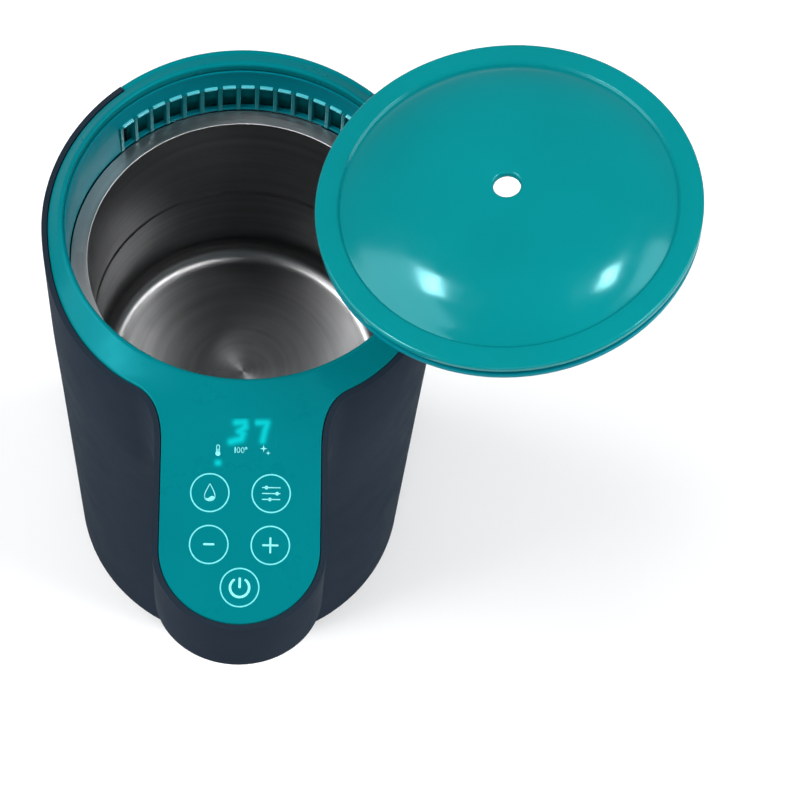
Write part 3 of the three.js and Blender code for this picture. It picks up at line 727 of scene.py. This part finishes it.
def top_cover():
    """The ring round the mouth and the touch panel, one moulding, with its edges rounded.
    At the back, where the dark rim stops, it reaches out and down over the rear cover."""
    lip, edge_round, steps = 2.2, 0.8, 30
    columns = []
    for x, y in head_outline(0, WALL + GAP):
        reach = math.hypot(x, y)
        over_back = abs(math.atan2(x, y)) < math.radians(BACK_HALF)
        ux, uy = x / reach, y / reach

        def at(r, drop=0.0):
            return cover_height(r * ux, r * uy) - drop

        column = [(OPENING_R, OPENING_Z - COVER_LIP)]
        for k in range(7):
            a = math.pi / 2 * k / 6
            r = OPENING_R + lip * (1 - math.cos(a))
            column.append((r, at(r, lip * (1 - math.sin(a)))))
        inner, outer = OPENING_R + lip, reach - edge_round
        column += [(mix(inner, outer, k / steps), at(mix(inner, outer, k / steps))) for k in range(1, steps)]
        for k in range(5):
            a = math.pi / 2 * k / 4
            r = outer + edge_round * math.sin(a)
            column.append((r, at(r, edge_round * (1 - math.cos(a)))))
        under = min(at(outer, COVER_T), OPENING_Z - COVER_LIP)
        skirt = BACK_TOP + GAP if over_back else at(reach, COVER_T)
        column += [(reach, skirt), (reach - 2, min(skirt, under)), (reach - 2.1, under)]
        columns.append([(r * ux, r * uy, z) for r, z in column])
    cover = settle(tidy(loft("top_cover_skin", columns)))
    return place(cover, teal, ["top_cover"])


def on_panel(x, v, rise=0.0):
    """A point on the panel: x across and v down the slope from its start, lifted off it by rise."""
    return (x, PANEL_START - v * math.cos(PANEL_SLOPE) - rise * math.sin(PANEL_SLOPE),
            OPENING_Z - v * math.sin(PANEL_SLOPE) + rise * math.cos(PANEL_SLOPE))


class Print:
    """Flat marks on the panel: each is a thin raised plate."""

    def __init__(self, rise=0.06):
        self.points, self.faces, self.rise = [], [], rise

    def fill(self, outline):
        count, start = len(outline), len(self.points)
        self.points += [on_panel(x, v, -0.1) for x, v in outline]
        self.points += [on_panel(x, v, self.rise) for x, v in outline]
        self.faces.append(tuple(start + count + k for k in range(count)))
        for k in range(count):
            j = (k + 1) % count
            self.faces.append((start + k, start + j, start + count + j, start + count + k))

    def band(self, centre, radius, width, start=0, end=360, steps=72):
        """A ring, or part of one, as one strip with its two edges."""
        first = len(self.points)
        for k in range(steps + 1):
            t = math.radians(mix(start, end, k / steps))
            for r, rise in ((-1, -0.1), (-1, self.rise), (1, self.rise), (1, -0.1)):
                reach = radius + r * width / 2
                x, v = centre[0] + reach * math.sin(t), centre[1] - reach * math.cos(t)
                self.points.append(on_panel(x, v, rise))
        for k in range(steps):
            a, b = first + 4 * k, first + 4 * (k + 1)
            self.faces += [(a + i, a + i + 1, b + i + 1, b + i) for i in range(3)]

    def dot(self, centre, radius, squeeze=1.0):
        self.fill([(centre[0] + radius * math.cos(2 * math.pi * k / 24),
                    centre[1] + squeeze * radius * math.sin(2 * math.pi * k / 24)) for k in range(24)])

    def line(self, a, b, width):
        """A stroke with round ends."""
        a, b = Vector(a), Vector(b)
        along = (b - a).normalized()
        start = math.atan2(along.y, along.x)
        outline = []
        for centre, turn in ((b, start - math.pi / 2), (a, start + math.pi / 2)):
            for k in range(9):
                t = turn + math.pi * k / 8
                outline.append((centre.x + width / 2 * math.cos(t), centre.y + width / 2 * math.sin(t)))
        self.fill(outline)

    def path(self, points, width):
        for a, b in zip(points, points[1:]):
            self.line(a, b, width)

    def finish(self, name, material):
        piece = mesh_object(name, self.points, self.faces)
        piece.data.set_sharp_from_angle(angle=math.radians(40))
        return place(piece, material)


KEY_R = 7.35
KEYS = {"water": (-11.8, 44.9), "mode": (11.8, 44.9), "minus": (-11.8, 65.0), "plus": (11.8, 65.0),
        "power": (0.3, 81.4)}


def key_rings():
    rings = Print()
    for x, v in KEYS.values():
        rings.band((x, v), KEY_R, 0.52, steps=96)
    return rings.finish("key_rings", ink_faint)


def key_symbols():
    marks = Print(0.07)
    x, v = KEYS["water"]
    drop = []
    for k in range(33):
        a = 2 * math.pi * k / 32
        pull = (0.5 + 0.5 * math.cos(a)) ** 2.2
        drop.append((x + 2.3 * math.sin(a) * (1 - 0.75 * pull), v + 1.1 - 2.1 * math.cos(a) - 2.4 * pull))
    marks.path(drop, 0.34)
    pool = [(x + 1.9 * math.cos(t), v + 1.75 + 1.45 * math.sin(t)) for t in
            [math.pi * k / 14 for k in range(15)]]
    wave = [(x + 1.9 * mix(-1, 1, k / 8), v + 1.75 + 0.5 * math.sin(math.pi * mix(-1, 1, k / 8)) * -1)
            for k in range(1, 8)]
    marks.fill(pool + wave)
    x, v = KEYS["mode"]
    for k, level in enumerate((-0.8, 1.0, -0.2)):
        row = v + 2.3 * (k - 1)
        marks.line((x - 3.4, row), (x + 3.4, row), 0.36)
        marks.dot((x + 2.3 * level, row), 0.72)
    x, v = KEYS["minus"]
    marks.line((x - 1.8, v - 0.1), (x + 1.8, v - 0.1), 0.75)
    x, v = KEYS["plus"]
    marks.line((x - 2.8, v), (x + 2.8, v), 0.7)
    marks.line((x, v - 2.8), (x, v + 2.8), 0.7)
    x, v = KEYS["power"]
    marks.band((x, v), 3.65, 0.95, 38, 322)
    for a in (38, 322):
        t = math.radians(a)
        marks.dot((x + 3.65 * math.sin(t), v - 3.65 * math.cos(t)), 0.475)
    marks.line((x, v - 3.4), (x, v - 0.2), 0.95)
    return marks.finish("key_symbols", ink)


def display_marks():
    """The small printed marks over the three indicator lamps: thermometer, 100 degrees, sparkle."""
    marks = Print(0.07)
    v = 28.1
    x = -9.0
    marks.band((x, v - 1.3), 0.55, 0.28, -90, 90, 16)
    marks.line((x - 0.55, v - 1.3), (x - 0.55, v + 0.9), 0.28)
    marks.line((x + 0.55, v - 1.3), (x + 0.55, v + 0.9), 0.28)
    marks.line((x, v - 0.2), (x, v + 1.2), 0.4)
    marks.dot((x, v + 1.5), 0.95)
    x = -0.4
    marks.line((x - 2.0, v - 1.0), (x - 2.0, v + 1.0), 0.38)
    for centre in (x - 0.7, x + 0.9):
        marks.path([(centre + 0.55 * math.sin(t), v - 1.0 * math.cos(t)) for t in
                    [2 * math.pi * k / 16 for k in range(17)]], 0.36)
    marks.band((x + 2.2, v - 0.75), 0.36, 0.24, steps=16)
    x = 8.6
    for centre, size in (((x, v - 0.7), 1.5), ((x + 1.8, v + 1.0), 1.0)):
        star = []
        for k in range(16):
            a = math.pi * k / 8
            reach = size * (0.3 + 0.7 * abs(math.cos(2 * a)) ** 3) if k % 2 == 0 else size * 0.34
            star.append((centre[0] + reach * math.sin(a), centre[1] - reach * math.cos(a)))
        marks.fill(star)
    return marks.finish("display_marks", ink)


def distance(p, a, b):
    """Distance from a point to a stretch."""
    p, a, b = Vector(p), Vector(a), Vector(b)
    along = b - a
    t = clamp01((p - a).dot(along) / max(along.length_squared, 1e-9))
    return (a + along * t - p).length


def lit_patch(name, low, high, strokes, width):
    """A skin over the panel that glows near its strokes, as a lamp under the moulding does."""
    step = 0.25
    across = round((high[0] - low[0]) / step)
    down = round((high[1] - low[1]) / step)
    columns, glow = [], []
    for i in range(across + 1):
        column = []
        for k in range(down + 1):
            x, v = mix(low[0], high[0], i / across), mix(low[1], high[1], k / down)
            near = min(distance((x, v), a, b) for a, b in strokes)
            edge = min(i, across - i, k, down - k) / 6
            glow.append(math.exp(-(near / width) ** 2) * clamp01(edge))
            column.append(on_panel(x, v, 0.03 * clamp01(edge * 6)))
        columns.append(column)
    patch = loft(name, columns, wrap=False, closed=False)
    attribute = patch.data.attributes.new("glow", "FLOAT", "POINT")
    attribute.data.foreach_set("value", glow)
    return place(patch, lit)


def lit_display():
    """The reading, 37, and the lamp under the thermometer."""
    lean = 0.12
    three = [(-2.6, 17.3), (0.6, 17.0), (1.1, 19.0), (-1.0, 20.8), (0.6, 21.6), (0.2, 23.8), (-3.6, 24.9)]
    seven = [(5.6, 17.2), (9.9, 17.2), (9.0, 20.4), (8.2, 24.4)]
    three = [(x - lean * (v - 21), v) for x, v in three]
    lit_patch("lit_digit_3", (-8, 13.5), (4.3, 28), list(zip(three, three[1:])), 1.45)
    lit_patch("lit_digit_7", (4.3, 13.5), (13.5, 28), list(zip(seven, seven[1:])), 1.3)
    lit_patch("lit_lamp", (-11.8, 30.6), (-6, 36), [((-9.0, 33.2), (-8.8, 33.2))], 1.3)


# ---------------------------------------------------------------- vent collar and vessel


def arc_block(name, r0, r1, half_degrees, centre_degrees, z0, z1, steps=4):
    """A short curved bar that follows the wall."""
    columns = []
    for i in range(steps + 1):
        a = math.radians(centre_degrees + mix(-half_degrees, half_degrees, i / steps))
        ring = [(r0, z0), (r1, z0), (r1, z1), (r0, z1)]
        columns.append([(-r * math.sin(a), r * math.cos(a), z) for r, z in ring])
    return tidy(loft(name, columns, wrap=False, caps=True))


def vent_collar():
    """The wall below the mouth: a ledge, then a row of windows between ribs round the back."""
    rows = rounded([(OPENING_R, COLLAR_TOP, 0), (COLLAR_R + 0.2, COLLAR_TOP, 0.35),
                    (COLLAR_R + 0.2, COLLAR_TOP - 1.6, 0.3), (COLLAR_R + 0.9, COLLAR_TOP - 2.4, 0.3),
                    (COLLAR_R + 0.5, SLOT_HIGH + 2, 0.5), (COLLAR_R, COLLAR_Z, 0)], 4)[:-1]
    foot = rows[-1]
    rows += [(mix(foot[0], COLLAR_R, t), z) for t, z in
             ((0.3, SLOT_HIGH), (0.95, SLOT_LOW), (1.0, COLLAR_Z))]
    rib_half = (SLOT_PITCH - math.degrees(SLOT_WIDTH / COLLAR_R)) / 2
    span = SLOT_COUNT * SLOT_PITCH / 2
    turns = []
    for i in range(SLOT_COUNT):
        start = -span + i * SLOT_PITCH
        turns += [(start, False)]
        turns += [(mix(start + rib_half, start + SLOT_PITCH - rib_half, k / 4), True) for k in range(4)]
        turns += [(start + SLOT_PITCH - rib_half, False)]
    turns += [(mix(span, 360 - span, k / 90), False) for k in range(90)]
    columns = []
    for degrees, _ in turns:
        a = math.radians(degrees)
        columns.append([(-r * math.sin(a), r * math.cos(a), z) for r, z in rows])
    window_row = len(rows) - 3
    wall = loft("vent_collar_skin", columns, closed=False,
                keep=lambda i, k: not (turns[i][1] and k == window_row))
    bm = bmesh.new()
    bm.from_mesh(wall.data)
    faces = [(f.normal, f.calc_center_median()) for f in bm.faces]
    inward = sum(normal.x * centre.x + normal.y * centre.y for normal, centre in faces)
    if inward > 0:
        bmesh.ops.reverse_faces(bm, faces=bm.faces)
    bm.to_mesh(wall.data)
    bm.free()
    thicken(wall, 1.8)
    soften(wall, 0.28, 50)
    place(wall, teal_deep, ["vent_collar"])

    ribs, hoods = [], []
    hood_half = SLOT_PITCH / 2 - rib_half * 1.15
    for i in range(SLOT_COUNT + 1):
        turn = -span + i * SLOT_PITCH
        ribs.append(arc_block("rib", COLLAR_R - 0.55, COLLAR_R + 1, rib_half * 0.92, turn, COLLAR_Z + 0.3,
                              SLOT_HIGH + 0.8))
    for i in range(SLOT_COUNT):
        turn = -span + (i + 0.5) * SLOT_PITCH
        hoods.append(arc_block("hood", COLLAR_R - 0.75, COLLAR_R + 1.2, hood_half, turn,
                               SLOT_HIGH - 0.3, SLOT_HIGH + 0.9, 5))
    bars = soften(merged("vent_ribs", ribs), 0.3, 40)
    place(bars, teal)
    # The hoods take the lighter teal, a painted highlight along the window tops.
    lips = soften(merged("vent_lips", hoods), 0.35, 40)
    place(lips, teal_hood_painted_highlight)


def vessel():
    """The deep-drawn stainless pot: a rolled flange, a bead at half depth, and a round foot."""
    r, t, bead_z = VESSEL_R, VESSEL_T, mix(VESSEL_FLOOR, VESSEL_TOP, 0.47)
    outline = rounded([
        (0, VESSEL_FLOOR, 0), (r, VESSEL_FLOOR, VESSEL_FILLET),
        (r, bead_z - 1.6, 0.8), (r - 0.5, bead_z, 0.8),
        (r, bead_z + 1.6, 0.8), (r, VESSEL_TOP, 0.25), (FLANGE_R, VESSEL_TOP, 0.42),
        (FLANGE_R, VESSEL_TOP - t, 0.42), (r + t, VESSEL_TOP - t, 0.5),
        (r + t, VESSEL_FLOOR - t, VESSEL_FILLET + t),
        (0, VESSEL_FLOOR - t, 0),
    ], 10)
    pot = turned("vessel_skin", outline, 160)
    low = box_mm("vessel")[0]
    spigot = turned("spigot", rounded([(3, low.z, 0.3), (4, low.z, 0.3), (4, VESSEL_FLOOR - 0.1, 0),
                                       (3, VESSEL_FLOOR - 0.1, 0)]), 32)
    under, over = VESSEL_FLOOR - 4, VESSEL_FLOOR + 4
    hole = turned("hole", [(0, under), (3, under), (3, over), (0, over)], 32)
    for piece in (spigot, hole):
        piece.data.transform(Matrix.Translation((0, INTAKE_Y * MM, 0)))
    carve(pot, [hole])
    pot = settle(merged("vessel_skin", [pot, spigot]))
    # The pot takes the darker steel copy, a painted shade over its inside; the faces at the top of the flange
    # take the lighter steel.
    place(pot, steel_inside_painted_shade, ["vessel"])
    pot.data.materials.append(steel_flange)
    for face in pot.data.polygons:
        centre = face.center / MM
        if centre.z > VESSEL_TOP - 1.2:
            face.material_index = 1
    z = VESSEL_FLOOR
    button = rounded([(0, z + 0.05, 0), (4.6, z + 0.05, 0.2), (4.4, z + 0.9, 0.4), (0, z + 1.1, 0)])
    strainer = turned("vessel_strainer", button, 40)
    holes = []
    for ring, count in ((1.4, 6), (3.0, 12)):
        for i in range(count):
            a = 2 * math.pi * i / count
            at = (ring * math.cos(a), ring * math.sin(a))
            holes.append(turned("hole", [(0, VESSEL_FLOOR - 1), (0.35, VESSEL_FLOOR - 1),
                                         (0.35, VESSEL_FLOOR + 2), (0, VESSEL_FLOOR + 2)], 10))
            holes[-1].data.transform(Matrix.Translation((at[0] * MM, at[1] * MM, 0)))
    carve(strainer, [merged("holes", holes)])
    strainer.data.transform(Matrix.Translation((0, INTAKE_Y * MM, 0)))
    place(settle(strainer), steel)


# ---------------------------------------------------------------- lid

LIFT = next(j for j in frame["joints"] if j["name"] == "lid_lift")


def held_off(piece):
    """Moves a lid piece drawn on its seat to where the lid is held."""
    pivot = Vector(LIFT["pos_m"])
    turn = Matrix.Rotation(math.radians(-LIFT["range_deg"][1]), 4, Vector(LIFT["axis"]))
    piece.data.transform(Matrix.Translation(pivot) @ turn @ Matrix.Translation(-pivot))
    return piece


def lid_cover():
    """A low dome with a flat brim, a rolled outer edge and a vent in the middle."""
    valley = 0.9

    def dome(r):
        rise = LID_DOME * (1 - (r / LID_BRIM) ** LID_SHOULDER)
        return LID_TOP + rise - valley * smooth(clamp01(r / LID_BRIM))

    vent = LID_VENT_R
    radii = [mix(vent + 1.6, LID_BRIM - 0.8, k / 34) for k in range(35)]
    top = [(r, dome(r)) for r in radii]
    lip = [(vent, dome(vent) - 2.4), (vent, dome(vent) - 0.9), (vent + 0.25, dome(vent) - 0.3),
           (vent + 0.8, dome(vent) + 0.05)]
    brim = rounded([(LID_BRIM + 0.2, LID_TOP - valley, 0), (LID_BRIM + 1.2, LID_TOP - 0.1, 0.5),
                    (LID_BRIM + 4, LID_TOP, 0), (LID_R, LID_TOP - 0.5, 1.1), (LID_R, LID_TOP - 3, 0.5),
                    (LID_BRIM + 1, LID_TOP - 3, 0)], 6)
    under = [(r, z - 2.2) for r, z in reversed(top[::2])]
    lid = settle(turned("lid_cover_skin", lip + top + brim + under, 160), 50)
    held_off(lid)
    return place(lid, teal_lid, ["lid_cover"], "lid")


def lid_base():
    z = LID_SEAT_Z + 2
    outline = rounded([
        (LID_OPEN_R, LID_SEAT_Z - 6.6, 0.8), (44, LID_SEAT_Z - 6.6, 3), (68, LID_SEAT_Z, 0.4), (68, z, 0),
        (LID_R - 0.3, z, 0.5), (LID_R - 0.3, z + 2.4, 0.5),
        (LID_R - 4, z + 2.4, 0.3), (LID_R - 4, z + 4.6, 0.3),
        (60, z + 4.6, 0.3), (60, z + 2, 0.3), (LID_OPEN_R, z + 2, 0.8),
    ], 5)
    base = held_off(settle(turned("lid_base_skin", outline, 160)))
    return place(base, teal_deep, ["lid_base"], "lid")


def lid_seal():
    low = LID_SEAT_Z
    edge = LID_R - 2.5
    outline = rounded([(68.4, low, 0.5), (edge, low, 0.6), (edge, low + 1.7, 0.4), (68.4, low + 1.7, 0.4)], 5)
    seal = held_off(turned("lid_seal_skin", outline, 120))
    return place(seal, silicone, ["lid_seal"], "lid")


# ---------------------------------------------------------------- underside and back


def nose_cover():
    low, high = box_mm("nose_cover")
    inset = 2.5 + GAP
    plate = prism("plate", round_rect(low.x + inset, high.x - inset, low.y + inset, high.y - inset, 11.7),
                  low.z, low.z + 2.9)
    flange = prism("flange", round_rect(low.x, high.x, low.y, high.y, 14), low.z + 2.7, high.z)
    nozzle = box_mm("spout_nozzle")
    centre = (nozzle[0] + nozzle[1]) / 2
    for part in (plate, flange):
        hole = turned("hole", [(0, low.z - 4), (6.4, low.z - 4), (6.4, high.z + 4), (0, high.z + 4)], 40)
        hole.data.transform(Matrix.Translation((centre.x * MM, centre.y * MM, 0)))
        carve(part, [hole])
    cover = soften(merged("nose_cover_skin", [plate, flange]), 0.35)
    return place(cover, slate, ["nose_cover"])


def spout_nozzle():
    low, high = box_mm("spout_nozzle")
    centre = (low + high) / 2
    z = low.z
    outline = rounded([(2.6, z, 0.4), (5, z, 0.5), (6, z + 2, 0.4), (6, z + 12.2, 0.3), (9, z + 12.2, 0.3),
                       (9, z + 14, 0.3), (5, z + 14, 0.3), (4.6, high.z, 0.3), (2.6, high.z, 0.3)], 4)
    nozzle = turned("spout_nozzle_skin", outline, 56)
    nozzle.data.transform(Matrix.Translation((centre.x * MM, centre.y * MM, 0)))
    return place(settle(nozzle), white_plastic, ["spout_nozzle"])


def feet():
    for node in ("foot_1", "foot_2", "foot_3", "foot_4"):
        low, high = box_mm(node)
        z, centre = low.z, (low + high) / 2
        outline = rounded([(0, z + 0.4, 0), (4, z + 0.4, 0.3), (4.6, z, 0.3),
                           (6.3, z, 0.4), (7, z + 0.8, 0.3),
                           (7, -GAP, 0.3), (2.2, -GAP, 0.2), (2.2, high.z, 0.4), (0, high.z, 0)], 4)
        foot = turned(node + "_skin", outline, 40)
        foot.data.transform(Matrix.Translation((centre.x * MM, centre.y * MM, 0)))
        place(settle(foot), foot_rubber, [node])


def cross_screw(name, node, turn, depth):
    """A pan head with a cross recess. Only the sign of depth is read: above zero the screw stands upright
    from its box's floor, otherwise it lies along Y with its head at the box's +Y face.
    """
    low, high = box_mm(node)
    length = (high.z - low.z) if depth > 0 else (high.y - low.y)
    outline = rounded([(0, 0, 0), (2.3, 0, 0.5), (2.9, 1.0, 0.3), (2.9, 1.8, 0.2), (1.5, 1.8, 0.1),
                       (1.5, length, 0.3), (0, length, 0)], 4)
    screw = turned(name, outline, 32)
    bars = [block("bar", (-1.5, -0.3, -0.6), (1.5, 0.3, 1.1)),
            block("bar", (-0.3, -1.5, -0.6), (0.3, 1.5, 1.1))]
    carve(screw, bars)
    screw.data.transform(turn)
    shift = Vector(((low.x + high.x) / 2, (low.y + high.y) / 2 if depth > 0 else high.y,
                    low.z if depth > 0 else (low.z + high.z) / 2))
    screw.data.transform(Matrix.Translation(shift * MM))
    return place(settle(screw), steel, [node])


def screws():
    for i in range(1, 5):
        cross_screw(f"base_screw_{i}_skin", f"base_screw_{i}", Matrix.Identity(4), 1)
    for i in (1, 2):
        cross_screw(f"rear_screw_{i}_skin", f"rear_screw_{i}", Matrix.Rotation(math.pi / 2, 4, "X"), -1)


def power_inlet():
    low, high = box_mm("power_inlet")
    body = block("power_inlet_skin", low, high)
    outline = round_rect(low.x + 3, high.x - 3, low.z + 3, high.z - 3, 3.2, 8)
    cavity = prism("cavity", outline, -high.y - 4, -low.y - 8)
    cavity.data.transform(Matrix.Rotation(math.pi / 2, 4, "X"))
    carve(body, [cavity])
    soften(body, 0.5)
    place(body, black_plastic, ["power_inlet"])
    for i in (1, 2, 3):
        node = f"inlet_pin_{i}"
        low, high = box_mm(node)
        pin = soften(block(node + "_skin", low, high), 0.35)
        place(pin, brass, [node])


# ---------------------------------------------------------------- inner pieces keep their CAD shape

INNER = {
    white_plastic: ["inner_frame", "pump_housing", "air_duct"],
    silicone: ["vessel_gasket", "suction_hose", "outlet_hose"],
    aluminium: ["heater_plate"],
    steel: ["heater_element", "pump_motor"],
    black_plastic: ["base_plate", "thermostat", "pump_impeller", "fan_frame", "fan_rotor", "relay",
                    "capacitor"],
    copper: ["thermal_fuse", "transformer"],
    brass: ["ntc_sensor"] + [f"touch_spring_{key}" for key in KEYS],
    board: ["main_board", "control_board", "terminal_block"],
    lamp: ["led_display", "status_led_1", "status_led_2", "status_led_3"],
}


def finish_inner_pieces():
    for material, names in INNER.items():
        for name in names:
            for slot in frame["nodes"][name].material_slots:
                slot.material = material


# ---------------------------------------------------------------- floor and light


def studio_floor():
    n = Nodes("studio_floor")
    n.link(n.ramp(n.noise(6, 2), [(0.94, 0.94, 0.94), (0.95, 0.95, 0.95), (0.96, 0.96, 0.96)]), "Base Color")
    n.link(n.spread(n.noise(40), 0.7, 0.85), "Roughness")
    n.shader.inputs["Specular IOR Level"].default_value = 0.1
    size = 6000
    z = CAD_BOX[0][2] / MM - 0.05
    corners = [(-size, -size, z), (size, -size, z), (size, size, z), (-size, size, z)]
    floor = mesh_object("floor", corners, [(0, 1, 2, 3)])
    floor.data.materials.append(n.material)


def area_light(name, place_at, size, power, aim=(0, -0.03, 0.2), glint_only=False):
    light = bpy.data.lights.new(name, "AREA")
    light.shape = "RECTANGLE"
    light.size, light.size_y = size
    light.energy = power
    lamp_object = bpy.data.objects.new(name, light)
    lamp_object.location = place_at
    lamp_object.rotation_euler = (Vector(aim) - Vector(place_at)).to_track_quat("-Z", "Y").to_euler()
    lamp_object.visible_diffuse = not glint_only
    bpy.context.scene.collection.objects.link(lamp_object)


def studio():
    studio_floor()
    area_light("key", (-1.6, -0.1, 1.7), (1.6, 1.4), 52)
    area_light("fill", (1.7, -0.2, 1.5), (1.4, 1.3), 42)
    area_light("front", (0.0, -1.9, 1.3), (1.2, 0.8), 12)
    area_light("lid_glint_left", (-0.73, 0.19, 1.69), (0.36, 0.2), 17, glint_only=True)
    area_light("lid_glint_right", (0.67, 0.06, 1.84), (0.3, 0.2), 15, glint_only=True)
    world = bpy.data.worlds.new("studio")
    bpy.context.scene.world = world
    world.use_nodes = True
    backdrop = world.node_tree.nodes["Background"]
    backdrop.inputs["Color"].default_value = (0.93, 0.96, 1.0, 1)
    backdrop.inputs["Strength"].default_value = 0.3
    bpy.context.scene.view_settings.view_transform = "Standard"


# ---------------------------------------------------------------- assembly

lit = glowing_teal()
outer_shell()
rear_cover()
top_cover()
key_rings()
key_symbols()
display_marks()
lit_display()
vent_collar()
vessel()
lid_cover()
lid_base()
lid_seal()
nose_cover()
spout_nozzle()
feet()
screws()
power_inlet()
finish_inner_pieces()
studio()
